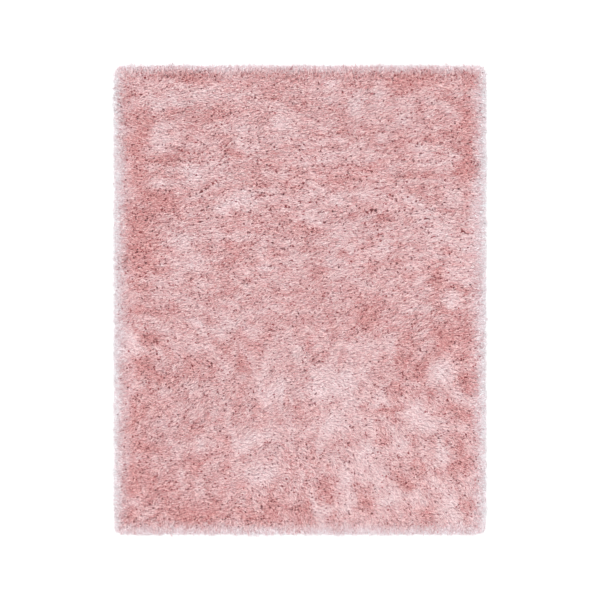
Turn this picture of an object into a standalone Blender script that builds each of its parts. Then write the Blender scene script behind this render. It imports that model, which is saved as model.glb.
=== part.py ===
"""A rectangular long-pile shag rug, lying flat: one lumpy slab of pile with locks of pile at its rim.

Units are metres, +Z is up. The origin is the middle of the flat underside. +Y runs along the rug's length
and +X across it. The slab is a grid of tufts whose rim is drawn down to the floor. Each stretch of that rim
is then drawn out into one lock, which falls outwards and lies level on the floor.
"""

from collections import namedtuple
import math
import random

import bmesh
import bpy
from mathutils import Matrix, Vector, noise

# Overall size, to the tips of the locks.
RUG_WIDTH = 2.425
RUG_LENGTH = 3.050

# The slab of pile inside the locks.
LOCK_REACH = 0.062
SLAB_WIDTH = RUG_WIDTH - 2 * LOCK_REACH
SLAB_LENGTH = RUG_LENGTH - 2 * LOCK_REACH
SLAB_CORNER = 0.100
TUFTS_ACROSS = 46
TUFTS_ALONG = 58

# Heights of the pile above the floor.
PILE_HEIGHT = 0.047
RIM_HEIGHT = 0.029
SHOULDER = 0.150
LUMP_SPACING = 0.210
LUMP_RISE = 0.008
TUFT_RISE = 0.005
RIM_RELIEF = 0.45

# How far the tufts stand off their even grid.
TUFT_SHIFT = 0.009
SHIFT_SPACING = 0.120

# How full a corner is, as the power of a superellipse: 2 is a round arc, and a high power is nearly square.
SLAB_FULLNESS = 3.5
TIP_FULLNESS = 8.0

# How uneven the locks are.
SHORTEST_LOCK = 0.76
LOCK_SWAY = 0.008
SEED = 17

ROSE = (0.66, 0.39, 0.40, 1.0)

# Sections along a lock: its place between root and tip, and its width and height there against its root's.
Section = namedtuple("Section", "along width height")
LOCK_SECTIONS = (
    Section(along=0.60, width=0.84, height=0.62),
    Section(along=1.00, width=0.40, height=0.20),
)

# One lock: the middle of its root, its tip, how far the tip sways aside, its root's width and height, and
# how much wider it grows to its tip where it fans out round a corner.
Lock = namedtuple("Lock", "root tip sway width height spread")

# Where the pile parts or laps: middle, length and width of the patch, its turn in degrees, and its rise.
Patch = namedtuple("Patch", "x y length width turn rise")
PATCHES = (
    # Hollows just inside the top edge and both sides.
    Patch(-0.71, 1.40, 0.42, 0.10, 0, -0.012),
    Patch(0.73, 1.39, 0.34, 0.13, 5, -0.014),
    Patch(1.05, 1.18, 0.26, 0.10, 90, -0.011),
    Patch(1.05, 0.88, 0.32, 0.10, 90, -0.012),
    Patch(-1.03, 0.91, 0.24, 0.12, 90, -0.013),
    Patch(-0.91, 0.63, 0.36, 0.14, -20, -0.014),
    Patch(-1.00, 0.35, 0.26, 0.20, 80, -0.015),
    # Wavy partings across the upper third.
    Patch(0.36, 1.09, 0.42, 0.07, 0, -0.011),
    Patch(0.59, 1.02, 0.30, 0.07, -15, -0.010),
    Patch(-0.40, 0.95, 0.24, 0.07, -8, -0.010),
    Patch(0.20, 0.80, 0.60, 0.09, -3, -0.011),
    Patch(0.85, 0.80, 0.48, 0.07, 0, -0.011),
    Patch(-0.62, 1.20, 0.32, 0.13, 10, -0.009),
    Patch(0.72, 0.24, 0.40, 0.09, -15, -0.010),
    # Hollows over the middle and down the sides.
    Patch(0.92, -0.25, 0.26, 0.20, -30, -0.014),
    Patch(0.41, -0.10, 0.30, 0.22, -20, -0.011),
    Patch(-0.44, 0.24, 0.26, 0.12, -60, -0.010),
    Patch(0.07, 0.09, 0.20, 0.14, 90, -0.009),
    Patch(-0.97, -0.33, 0.26, 0.15, -60, -0.012),
    Patch(-1.03, -0.75, 0.25, 0.12, 45, -0.012),
    Patch(-0.96, -0.95, 0.20, 0.10, 0, -0.012),
    Patch(-0.40, -0.34, 0.18, 0.10, -60, -0.010),
    Patch(0.64, -0.46, 0.28, 0.11, 90, -0.011),
    Patch(0.62, -0.72, 0.36, 0.10, 10, -0.011),
    Patch(1.04, -0.75, 0.22, 0.13, -30, -0.012),
    Patch(1.02, -1.01, 0.28, 0.18, 90, -0.011),
    # Blotches along the lower edge.
    Patch(-0.53, -0.99, 0.28, 0.13, -75, -0.011),
    Patch(-0.94, -1.21, 0.30, 0.17, -20, -0.012),
    Patch(-0.79, -1.38, 0.28, 0.11, 10, -0.012),
    Patch(-0.56, -1.34, 0.20, 0.15, 60, -0.013),
    Patch(-0.19, -1.32, 0.20, 0.16, 90, -0.010),
    Patch(0.18, -1.23, 0.20, 0.13, 90, -0.012),
    Patch(0.43, -1.31, 0.17, 0.12, 90, -0.012),
    Patch(0.67, -1.16, 0.20, 0.10, -50, -0.011),
    # Laps, where strands lie flat over one another.
    Patch(-0.38, 0.65, 0.26, 0.16, -20, 0.008),
    Patch(-0.72, 1.30, 0.50, 0.09, 3, 0.006),
    Patch(-0.13, 1.13, 0.32, 0.14, 90, 0.007),
    Patch(0.38, 1.29, 0.22, 0.26, 0, 0.006),
    Patch(0.42, 1.00, 0.30, 0.08, -4, 0.006),
    Patch(0.80, 0.55, 0.22, 0.18, -40, 0.008),
    Patch(-0.22, 0.27, 0.32, 0.09, 80, 0.006),
    Patch(0.20, -0.54, 0.40, 0.20, 5, 0.009),
    Patch(0.24, -0.82, 0.26, 0.20, 30, 0.008),
    Patch(-0.12, -0.62, 0.26, 0.14, 60, 0.007),
    Patch(0.77, -0.78, 0.26, 0.17, 60, 0.008),
    Patch(0.92, -1.10, 0.34, 0.20, 70, 0.007),
    Patch(-0.22, -1.12, 0.26, 0.14, 15, 0.007),
)


def clear_scene():
    """Remove the objects that the scene starts with."""
    for obj in list(bpy.data.objects):
        bpy.data.objects.remove(obj, do_unlink=True)


def clamp(value, limit):
    """Return value kept between -limit and limit."""
    return max(-limit, min(limit, value))


def smooth_step(share):
    """Return an ease from 0 to 1, level at both ends."""
    share = max(0.0, min(1.0, share))
    return share * share * (3.0 - 2.0 * share)


def corner_centre(x, y):
    """Return the middle of the corner arc for a point in one of the slab's corners, and its foot elsewhere."""
    straight_x = SLAB_WIDTH / 2 - SLAB_CORNER
    straight_y = SLAB_LENGTH / 2 - SLAB_CORNER
    return Vector((clamp(x, straight_x), clamp(y, straight_y), 0.0))


def square_reach(out, fullness):
    """Return how far a superellipse of radius 1 reaches in the direction of out."""
    out = out.normalized()
    return (abs(out.x) ** fullness + abs(out.y) ** fullness) ** (-1.0 / fullness)


def round_corner(point):
    """Move a point of the square-cornered grid so that the slab's corners become round."""
    centre = corner_centre(point.x, point.y)
    out = Vector((point.x, point.y, 0.0)) - centre
    if out.length == 0.0:
        return centre
    return centre + out.normalized() * max(abs(out.x), abs(out.y)) * square_reach(out, SLAB_FULLNESS)


def shifted(point):
    """Move a point sideways by slow noise, so that rows of tufts and the rim run unevenly."""
    shift = noise.noise_vector(point / SHIFT_SPACING)
    return point + Vector((shift.x, shift.y, 0.0)) * TUFT_SHIFT


def patch_rise(point):
    """Return the rise of all the partings and laps at a point."""
    total = 0.0
    for patch in PATCHES:
        turn = math.radians(patch.turn)
        across = Vector((point.x - patch.x, point.y - patch.y))
        along = (across.x * math.cos(turn) + across.y * math.sin(turn)) / (patch.length / 2)
        aside = (across.y * math.cos(turn) - across.x * math.sin(turn)) / (patch.width / 2)
        total += patch.rise * math.exp(-(along * along + aside * aside))
    return total


def pile_top(point, inset, tuft):
    """Return the pile's height at a point inset from the slab's rim, where its tuft rises by tuft."""
    shoulder = smooth_step(inset / SHOULDER)
    height = RIM_HEIGHT + (PILE_HEIGHT - RIM_HEIGHT) * shoulder
    relief = LUMP_RISE * noise.noise(point / LUMP_SPACING) + tuft + patch_rise(point)
    return height + relief * (RIM_RELIEF + (1.0 - RIM_RELIEF) * shoulder)


def lay_tufts(bm):
    """Make the top of the slab, a grid with a point for each tuft, set unevenly and raised to the pile."""
    bmesh.ops.create_grid(
        bm,
        x_segments=TUFTS_ACROSS,
        y_segments=TUFTS_ALONG,
        size=0.5,
        matrix=Matrix.Diagonal((SLAB_WIDTH, SLAB_LENGTH, 1.0, 1.0)),
    )
    chance = random.Random(SEED)
    for vert in bm.verts:
        inset = min(SLAB_WIDTH / 2 - abs(vert.co.x), SLAB_LENGTH / 2 - abs(vert.co.y))
        spot = shifted(round_corner(vert.co))
        spot.z = pile_top(spot, inset, chance.uniform(-TUFT_RISE, TUFT_RISE))
        vert.co = spot


def close_underside(bm):
    """Draw the rim down to the floor and close the underside with one flat face. Return the rim's faces."""
    rim_edges = [edge for edge in bm.edges if edge.is_boundary]
    drawn = bmesh.ops.extrude_edge_only(bm, edges=rim_edges)["geom"]
    for vert in drawn:
        if isinstance(vert, bmesh.types.BMVert):
            vert.co.z = 0.0
    floor_edges = [edge for edge in drawn if isinstance(edge, bmesh.types.BMEdge)]
    rim_faces = [face for face in drawn if isinstance(face, bmesh.types.BMFace)]
    bmesh.ops.contextual_create(bm, geom=floor_edges)
    bmesh.ops.recalc_face_normals(bm, faces=bm.faces)
    return rim_faces


def shape_section(face, lock, section):
    """Place the end face of a lock at one of its sections, its lower edge on the floor."""
    middle = face.calc_center_median()
    aside = Vector((lock.root.y - lock.tip.y, lock.tip.x - lock.root.x, 0.0)).normalized()
    centre = lock.root.lerp(lock.tip, section.along) + aside * lock.sway * section.along ** 2
    half_width = lock.width * section.width * (1.0 + lock.spread * section.along) / 2
    for vert in face.verts:
        raised = vert.co.z > 0.0
        vert.co = centre + aside * math.copysign(half_width, (vert.co - middle).dot(aside))
        vert.co.z = lock.height * section.height if raised else 0.0


def rooted_lock(face, chance):
    """Return the lock that grows from a face of the rim, straight out or fanned round a corner."""
    root = face.calc_center_median()
    height = 2 * root.z
    root.z = 0.0
    centre = corner_centre(root.x, root.y)
    out = root - centre
    reach = SLAB_CORNER + LOCK_REACH * chance.uniform(SHORTEST_LOCK, 1.0)
    tip = centre + out.normalized() * reach * square_reach(out, TIP_FULLNESS)
    width = max((first.co - second.co).xy.length for first in face.verts for second in face.verts)
    fans_out = min(abs(out.x), abs(out.y)) > 0.0
    spread = (tip - centre).length / out.length - 1.0 if fans_out else 0.0
    return Lock(root, tip, chance.uniform(-LOCK_SWAY, LOCK_SWAY), width, height, spread)


def draw_locks(bm, rim_faces, number):
    """Draw each face of the rim out into one four-sided lock that tapers to the floor."""
    chance = random.Random(SEED)
    locks = []
    for index, face in enumerate(rim_faces):
        face[number] = index
        locks.append(rooted_lock(face, chance))
    ends = rim_faces
    for section in LOCK_SECTIONS:
        ends = bmesh.ops.extrude_discrete_faces(bm, faces=ends)["faces"]
        for face in ends:
            shape_section(face, locks[face[number]], section)


def fit_overall_size(bm):
    """Stretch the rug by a hair so that its tips reach the overall size evenly about the origin."""
    for axis, size in ((0, RUG_WIDTH), (1, RUG_LENGTH)):
        low = min(vert.co[axis] for vert in bm.verts)
        high = max(vert.co[axis] for vert in bm.verts)
        for vert in bm.verts:
            vert.co[axis] = (vert.co[axis] - (low + high) / 2) * size / (high - low)


def pile_material():
    """Return the rose pile's material."""
    material = bpy.data.materials.new("rose_pile")
    material.use_nodes = True
    shader = material.node_tree.nodes["Principled BSDF"]
    shader.inputs["Base Color"].default_value = ROSE
    shader.inputs["Roughness"].default_value = 0.75
    shader.inputs["Metallic"].default_value = 0.0
    return material


def make_rug(collection):
    """Build the rug as one closed solid and link it to the collection."""
    bm = bmesh.new()
    lock_number = bm.faces.layers.int.new("lock")
    lay_tufts(bm)
    rim_faces = close_underside(bm)
    draw_locks(bm, rim_faces, lock_number)
    fit_overall_size(bm)
    mesh = bpy.data.meshes.new("shag_rug")
    bm.to_mesh(mesh)
    bm.free()
    mesh.shade_smooth()
    mesh.set_sharp_from_angle(angle=math.radians(50))
    mesh.materials.append(pile_material())
    rug = bpy.data.objects.new("shag_rug", mesh)
    collection.objects.link(rug)
    return rug


def main():
    """Build the part in a collection of its own."""
    clear_scene()
    collection = bpy.data.collections.new("shag_rug")
    bpy.context.scene.collection.children.link(collection)
    make_rug(collection)


if __name__ == "__main__":
    main()
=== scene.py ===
"""The looks of the shag rug: silky rose strands over a deeper lower pile, on a thin woven backing.

The rug lies flat, seen from straight above on a plain white floor. Every strand is a real ridge of yarn with
two faces, open below. Strands grow in tufts of a few that lean together, so that they read as the wisps of a
long pile. Where they lie flat the pile is pale, a painted sheen, and where they part the deep rose below
shows, painted darker as shade. At the rim they fall outwards on to the floor. The lower pile's deep rose, the
darker roots, dashes, specks and creases of the yarn and the grey at the rug's edge are painted shade, and the
rim's paleness is a painted sheen. Lengths are metres. Turns are degrees in the tables, else radians.
"""

import logging
import math
from dataclasses import dataclass
from enum import Enum
from functools import reduce
from typing import Iterable, Optional, Union

import bpy
import numpy as np
from bpy.types import Material, Mesh, Node, NodeInputs, NodeOutputs, NodeSocket, NodeTree, Object
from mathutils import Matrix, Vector
from mathutils.bvhtree import BVHTree


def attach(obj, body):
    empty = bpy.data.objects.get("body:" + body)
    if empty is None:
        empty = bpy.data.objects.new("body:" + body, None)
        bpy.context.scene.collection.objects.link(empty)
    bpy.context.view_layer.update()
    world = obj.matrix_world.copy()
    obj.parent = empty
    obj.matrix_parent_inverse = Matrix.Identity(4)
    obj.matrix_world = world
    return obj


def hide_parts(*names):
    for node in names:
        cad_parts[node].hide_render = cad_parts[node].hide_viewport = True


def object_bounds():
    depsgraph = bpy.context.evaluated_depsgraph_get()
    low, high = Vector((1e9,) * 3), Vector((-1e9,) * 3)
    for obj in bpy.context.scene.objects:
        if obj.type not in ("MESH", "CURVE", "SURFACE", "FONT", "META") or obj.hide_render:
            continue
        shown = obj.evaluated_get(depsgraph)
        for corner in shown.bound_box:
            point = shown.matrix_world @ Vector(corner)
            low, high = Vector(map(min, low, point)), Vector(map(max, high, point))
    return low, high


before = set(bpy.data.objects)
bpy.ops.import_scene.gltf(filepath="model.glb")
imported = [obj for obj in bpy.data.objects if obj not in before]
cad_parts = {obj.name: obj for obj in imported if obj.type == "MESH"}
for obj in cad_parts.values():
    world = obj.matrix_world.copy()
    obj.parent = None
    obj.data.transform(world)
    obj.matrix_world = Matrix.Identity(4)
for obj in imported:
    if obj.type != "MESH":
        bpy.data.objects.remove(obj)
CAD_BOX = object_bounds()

log = logging.getLogger("shag_rug")

Floats = np.ndarray
Random = np.random.Generator
Colour = tuple[float, float, float, float]
Value = Union[NodeSocket, float, tuple[float, ...]]
Inputs = dict[Union[int, str], Value]

RUG_NODE = "shag_rug"
BODY = "root"
SEED = 4071
# The share of its spacing by which a tuft may stand off its even place, each way.
SCATTER_SHARE = 0.45


# ---------------------------------------------------------------- where the strands part, lie flat and run

class Lay(Enum):
    """How the strands of a patch lie: parted, so that the deep pile shows, or flat over one another."""

    # Parted patches lower the lay, which paints the yarn and lower pile darker there as shade; flat ones
    # raise it, which paints them paler as a painted sheen.
    PARTED = -1.0
    FLAT = 1.0


@dataclass(frozen=True)
class NapPatch:
    """One oval patch of the nap: its middle, length, width, turn in degrees and strength from 0 to 1."""

    lay: Lay
    x: float
    y: float
    length: float
    width: float
    turn: float
    strength: float

    def weight(self, x: Floats, y: Floats) -> Floats:
        """Return how much each point belongs to the patch.

        Args:
            x: Places across the rug.
            y: Places along the rug.

        Returns:
            Values from 0, far from the patch, to its strength at its middle.
        """
        turn = math.radians(self.turn)
        along = (x - self.x) * math.cos(turn) + (y - self.y) * math.sin(turn)
        aside = (y - self.y) * math.cos(turn) - (x - self.x) * math.sin(turn)
        return self.strength * np.exp(-((2 * along / self.length) ** 2 + (2 * aside / self.width) ** 2))


def patches(lay: Lay, rows: Iterable[tuple[float, ...]]) -> tuple[NapPatch, ...]:
    """Return a patch for each row of x, y, length, width, turn and strength."""
    return tuple(NapPatch(lay, *row) for row in rows)


# Where the pile is painted darker, as shade.
PARTED_PATCHES = patches(Lay.PARTED, (
    # x, y, length, width, turn, strength: inside the top edge
    (0.00, 1.45, 2.20, 0.07, 0, 0.5), (-0.74, 1.45, 0.21, 0.07, 0, 1.0), (0.66, 1.34, 0.22, 0.07, 15, 0.7),
    (1.00, 1.27, 0.16, 0.08, -30, 0.6), (0.82, 1.04, 0.14, 0.08, 0, 0.9), (0.99, 0.98, 0.12, 0.08, 0, 0.8),
    (-0.72, 0.92, 0.24, 0.06, 0, 0.5), (-0.28, 0.75, 0.20, 0.07, 0, 0.7), (0.73, 1.43, 0.29, 0.09, 8, 1.0),
    (0.36, 1.37, 0.18, 0.06, 0, 0.6), (-1.14, 1.28, 0.26, 0.14, 90, 0.5), (-1.00, 1.10, 0.18, 0.12, 90, 0.9),
    (-0.86, 0.89, 0.26, 0.06, -8, 0.8), (-0.12, 1.30, 0.18, 0.06, 0, 0.6),
    # down the left side
    (-1.06, 0.98, 0.16, 0.10, 70, 1.0), (-1.03, 0.82, 0.12, 0.12, 0, 1.0), (-1.00, 0.20, 0.18, 0.08, 0, 0.9),
    (-0.95, 0.55, 0.10, 0.12, 0, 0.6), (-0.97, 0.68, 0.18, 0.08, -15, 1.0),
    (-0.86, 0.62, 0.18, 0.10, -20, 1.0), (-1.05, 0.52, 0.16, 0.12, -20, 1.0),
    (-1.04, 0.34, 0.21, 0.16, 80, 1.0), (-0.94, 0.36, 0.10, 0.10, 0, 0.7), (-1.06, -0.07, 0.12, 0.07, 0, 0.6),
    (-0.86, -0.07, 0.18, 0.07, 0, 0.8), (-0.97, -0.26, 0.16, 0.10, 20, 0.9),
    (-1.01, -0.41, 0.10, 0.10, 0, 1.0), (-0.88, -0.51, 0.16, 0.08, -20, 0.6),
    (-1.04, -0.75, 0.21, 0.08, 50, 0.8), (-0.97, -0.95, 0.16, 0.07, 0, 1.0),
    # down the right side
    (1.08, 1.18, 0.21, 0.08, 90, 0.9), (0.98, 1.07, 0.16, 0.07, 0, 0.7), (1.09, 0.91, 0.18, 0.08, 90, 1.0),
    (1.06, 0.82, 0.13, 0.08, 0, 0.9), (1.03, 0.08, 0.18, 0.05, 0, 0.5), (1.07, -0.20, 0.18, 0.10, 90, 0.6),
    (0.94, -0.28, 0.16, 0.13, 90, 0.9), (0.90, -0.21, 0.18, 0.08, -40, 0.7),
    (1.09, -0.52, 0.12, 0.12, 0, 1.0), (1.02, -0.73, 0.20, 0.07, -30, 0.8), (0.99, -0.92, 0.16, 0.13, 0, 0.5),
    (0.99, -1.09, 0.18, 0.10, 25, 0.7), (1.09, -1.32, 0.08, 0.08, 0, 0.9), (1.07, -0.38, 0.13, 0.09, 0, 1.0),
    (0.92, -0.06, 0.20, 0.10, -30, 0.9),
    # wavy partings across the upper third
    (-0.83, 1.20, 0.16, 0.05, 12, 0.7), (-0.61, 1.20, 0.21, 0.12, 0, 0.5), (0.27, 1.10, 0.07, 0.07, 0, 1.0),
    (-0.42, 0.94, 0.14, 0.05, -5, 0.9), (0.00, 0.84, 0.29, 0.04, 0, 0.6), (0.24, 0.78, 0.23, 0.13, 0, 0.5),
    (0.73, 0.80, 0.36, 0.04, 0, 0.7), (0.50, 0.53, 0.14, 0.06, 25, 0.7),
    # over the middle
    (0.08, 0.46, 0.18, 0.14, 0, 0.6), (0.14, 0.16, 0.10, 0.14, 0, 0.6), (0.71, -0.27, 0.12, 0.12, 0, 0.9),
    (0.77, -0.44, 0.18, 0.12, -30, 0.9), (0.60, 0.24, 0.12, 0.05, 0, 0.6), (0.88, 0.13, 0.16, 0.10, 90, 0.6),
    (-0.41, 0.28, 0.18, 0.16, 90, 0.5), (0.43, -0.09, 0.18, 0.16, 90, 0.7),
    (-0.38, -0.40, 0.10, 0.07, 90, 0.9), (0.65, -0.37, 0.10, 0.07, 90, 0.9),
    (0.62, -0.57, 0.12, 0.09, 0, 0.8), (0.57, -0.71, 0.23, 0.05, 5, 0.7), (0.54, -0.88, 0.12, 0.10, 90, 0.5),
    (-0.67, -1.05, 0.09, 0.08, 90, 0.9), (-0.48, -0.90, 0.10, 0.05, 90, 0.6),
    (0.68, -1.18, 0.16, 0.08, -50, 0.9), (-0.68, -0.48, 0.14, 0.08, 0, 0.5),
    # blotches along the lower edge
    (-1.03, -1.10, 0.18, 0.12, 0, 1.0), (-0.70, -1.40, 0.20, 0.12, -10, 1.0),
    (-0.30, -1.40, 0.24, 0.10, -30, 0.8), (-0.66, -0.84, 0.10, 0.10, 0, 0.8),
    (-1.06, -1.21, 0.09, 0.09, 0, 0.9), (-0.90, -1.23, 0.21, 0.16, -20, 0.6),
    (-1.10, -1.40, 0.12, 0.08, 0, 0.9), (-0.77, -1.38, 0.18, 0.12, 0, 0.8),
    (-0.57, -1.37, 0.16, 0.10, 70, 0.9), (-0.18, -1.32, 0.18, 0.16, 0, 0.5),
    (0.04, -1.36, 0.16, 0.13, -60, 0.7), (0.18, -1.22, 0.18, 0.10, 90, 0.8),
    (0.43, -1.31, 0.13, 0.10, 90, 0.9),
    # single hollows
    (0.59, 0.99, 0.20, 0.05, 0, 0.7), (-0.66, -0.41, 0.10, 0.09, 0, 0.7), (-0.44, -0.30, 0.10, 0.08, 0, 0.7),
    (0.80, -1.38, 0.10, 0.08, 0, 0.8), (1.11, 1.41, 0.10, 0.08, 0, 0.8), (0.76, -1.11, 0.12, 0.14, 0, 0.7),
    (-1.14, 1.02, 0.10, 0.10, 0, 0.8), (1.10, -1.03, 0.16, 0.10, 0, 0.6), (-1.02, 0.08, 0.14, 0.07, -30, 0.6),
    (0.34, 0.52, 0.14, 0.06, 40, 0.5), (0.72, 0.70, 0.18, 0.05, -20, 0.5),
    (-0.18, 0.93, 0.12, 0.06, -20, 0.5),
))

# Where the pile is painted paler, as a painted sheen.
FLAT_PATCHES = patches(Lay.FLAT, (
    # x, y, length, width, turn, strength: the upper third
    (-0.92, 1.03, 0.16, 0.16, 0, 1.0), (-0.66, 1.33, 0.34, 0.09, 0, 0.6), (-0.13, 1.14, 0.31, 0.13, 90, 0.5),
    (0.21, 1.38, 0.16, 0.10, 90, 0.6), (0.37, 1.27, 0.18, 0.10, 75, 0.9), (0.51, 1.31, 0.16, 0.07, 90, 0.6),
    (0.80, 0.98, 0.13, 0.12, 0, 0.5), (-0.69, 0.82, 0.16, 0.10, -30, 0.8), (-0.88, 0.75, 0.23, 0.05, 0, 0.6),
    (-0.37, 0.65, 0.18, 0.12, 0, 1.0), (-0.49, 0.58, 0.13, 0.09, 40, 0.6), (0.26, 0.62, 0.13, 0.04, 0, 0.8),
    (0.75, 0.62, 0.18, 0.08, -20, 0.7), (0.88, 0.42, 0.26, 0.07, 25, 0.7), (1.12, 0.55, 0.23, 0.07, 90, 0.5),
    (0.09, 0.53, 0.13, 0.12, 0, 0.7), (0.24, 0.66, 0.18, 0.08, 0, 0.6), (0.50, 0.66, 0.20, 0.12, 0, 0.5),
    (0.98, 0.93, 0.10, 0.08, 0, 0.6), (-0.37, 1.10, 0.13, 0.10, 90, 0.7), (-0.82, 1.28, 0.24, 0.08, 0, 0.5),
    (-0.83, -0.20, 0.12, 0.07, 0, 0.5),
    # the middle
    (0.30, 0.46, 0.24, 0.12, 20, 0.7), (-0.76, 0.37, 0.14, 0.12, 0, 1.0), (-0.69, 0.23, 0.14, 0.09, 0, 0.8),
    (1.02, 0.35, 0.28, 0.10, -20, 0.8), (1.05, 0.12, 0.18, 0.12, 0, 0.7), (-0.45, -0.16, 0.18, 0.08, 20, 0.8),
    (-1.05, -0.31, 0.16, 0.12, 0, 0.7), (0.14, -0.48, 0.12, 0.10, 0, 0.9), (-0.22, -0.42, 0.08, 0.14, 0, 0.6),
    (1.03, -0.38, 0.18, 0.14, 0, 0.6), (-0.45, 0.41, 0.18, 0.05, 0, 0.5), (-0.23, 0.24, 0.23, 0.07, 90, 0.5),
    (0.97, 0.00, 0.13, 0.10, 90, 0.8), (-0.67, -0.15, 0.18, 0.09, -50, 0.6),
    (-1.10, -0.23, 0.16, 0.10, 90, 0.6), (-0.67, -0.31, 0.26, 0.07, 0, 0.5),
    (-0.02, -0.36, 0.10, 0.10, 0, 0.6), (-0.13, -0.56, 0.21, 0.10, 75, 1.0),
    (-0.24, -0.60, 0.16, 0.10, 90, 0.6), (0.17, -0.57, 0.29, 0.12, 5, 1.0),
    (0.30, -0.51, 0.16, 0.12, 90, 1.0), (0.33, -0.67, 0.13, 0.10, 0, 0.9), (0.21, -0.80, 0.23, 0.16, 20, 0.8),
    (0.90, -0.47, 0.14, 0.13, 0, 1.0), (1.05, -0.64, 0.18, 0.07, -30, 0.7), (-0.36, 0.25, 0.12, 0.12, 0, 0.5),
    (0.28, -0.30, 0.18, 0.07, 0, 0.5), (0.59, -0.31, 0.12, 0.08, 90, 0.6), (0.82, 0.53, 0.12, 0.08, 0, 0.7),
    # the lower third
    (-0.33, -0.90, 0.26, 0.12, 25, 1.0), (0.52, -0.62, 0.12, 0.12, 0, 0.8),
    (0.17, -1.36, 0.16, 0.08, 25, 0.8), (0.77, -1.31, 0.16, 0.16, 0, 0.6), (0.77, -0.73, 0.18, 0.16, 90, 1.0),
    (0.64, -0.92, 0.16, 0.10, 90, 0.8), (0.92, -0.99, 0.18, 0.12, -70, 0.9),
    (0.85, -0.82, 0.13, 0.10, 0, 0.6), (0.41, -0.98, 0.16, 0.13, 0, 0.5), (-0.24, -1.12, 0.21, 0.13, 15, 1.0),
    (-0.64, -0.92, 0.23, 0.07, 80, 0.7), (0.30, -1.18, 0.26, 0.08, -80, 0.8),
    (0.56, -1.25, 0.18, 0.13, 90, 0.7), (0.97, -1.33, 0.26, 0.10, -70, 0.9),
    (0.44, -1.11, 0.26, 0.14, 0, 0.6), (0.11, -1.35, 0.23, 0.05, -65, 0.8),
    # single pale places
    (0.54, 0.35, 0.10, 0.12, 0, 0.9), (0.20, 0.23, 0.07, 0.12, 20, 0.7), (-0.86, -0.04, 0.10, 0.08, 0, 0.6),
    (0.84, -0.07, 0.24, 0.08, 0, 0.6), (0.69, 1.14, 0.20, 0.10, -20, 0.5), (0.68, 0.45, 0.12, 0.10, 0, 0.5),
    (-0.74, 0.76, 0.16, 0.06, 0, 0.5), (0.12, 0.90, 0.20, 0.08, 20, 0.5), (-0.92, 1.25, 0.14, 0.08, 0, 0.5),
))


@dataclass(frozen=True)
class Flow:
    """A stretch of the rug over which the strands run one way: its middle, reach and heading in degrees."""

    x: float
    y: float
    reach: float
    heading: float


FLOWS = tuple(Flow(*row) for row in (
    # x, y, reach, heading: the upper half
    (-0.70, 1.25, 0.45, 4), (0.00, 1.25, 0.35, -3), (0.30, 1.22, 0.20, 32), (0.80, 1.20, 0.40, 3),
    (-0.60, 0.75, 0.45, 8), (0.10, 0.80, 0.50, 3), (0.85, 0.70, 0.45, 1), (-0.60, 0.25, 0.40, 9),
    (0.10, 0.30, 0.40, 8), (0.65, 0.30, 0.35, -4), (1.00, 0.20, 0.30, -12),
    # the lower half, where the flow turns down to the right
    (-0.80, -0.35, 0.40, 10), (-0.30, -0.40, 0.35, 18), (0.05, -0.40, 0.25, 4), (0.40, -0.35, 0.30, 17),
    (0.90, -0.25, 0.35, 12), (-0.85, -0.80, 0.30, 12), (-0.45, -0.88, 0.25, 42), (-0.05, -0.80, 0.25, -20),
    (0.35, -0.75, 0.30, -28), (0.80, -0.72, 0.30, -14), (1.05, -0.90, 0.25, -36), (-0.90, -1.20, 0.30, 16),
    (-0.50, -1.25, 0.25, 2), (-0.05, -1.20, 0.30, -32), (0.50, -1.15, 0.35, -28), (0.95, -1.25, 0.35, -44),
))


def ease(share: Floats) -> Floats:
    """Return an ease from 0 to 1 that is level at both ends."""
    share = np.clip(share, 0.0, 1.0)
    return share * share * (3.0 - 2.0 * share)


def nearness(place: Floats, size: float, reach: Union[Floats, float]) -> Floats:
    """Return how near places lie to either edge of a size: 0 at a reach from it, and 1 on it."""
    return 1 - (size / 2 - np.abs(place)) / reach


def ahead(x: Floats, y: Floats, heading: Floats, reach: Union[Floats, float]) -> tuple[Floats, Floats]:
    """Return the points some way ahead of others."""
    return x + reach * np.cos(heading), y + reach * np.sin(heading)


@dataclass(frozen=True)
class Fade:
    """A smooth change from 0 at a start to 1 a span further on, or further back if the span is negative."""

    start: float
    span: float

    def at(self, value: Floats) -> Floats:
        """Return how far the change has gone at each value."""
        return ease((value - self.start) / self.span)


@dataclass
class SmoothNoise:
    """Seeded noise that changes smoothly between knots a spacing apart, over a square span."""

    spacing: float
    seed: int
    span: float = 5.0

    def __post_init__(self) -> None:
        """Lay out the knots."""
        count = int(self.span / self.spacing) + 3
        self.knots = np.random.default_rng(self.seed).uniform(-1.0, 1.0, (count, count))

    def at(self, x: Floats, y: Floats) -> Floats:
        """Return the noise at each point.

        Args:
            x: Places across the rug.
            y: Places along the rug.

        Returns:
            Values from -1 to 1.
        """
        u = (x + self.span / 2) / self.spacing
        v = (y + self.span / 2) / self.spacing
        i = np.floor(u).astype(int)
        j = np.floor(v).astype(int)
        u = ease(u - i)
        v = ease(v - j)
        low = self.knots[i, j] * (1 - u) + self.knots[i + 1, j] * u
        high = self.knots[i, j + 1] * (1 - u) + self.knots[i + 1, j + 1] * u
        return low * (1 - v) + high * v


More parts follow.
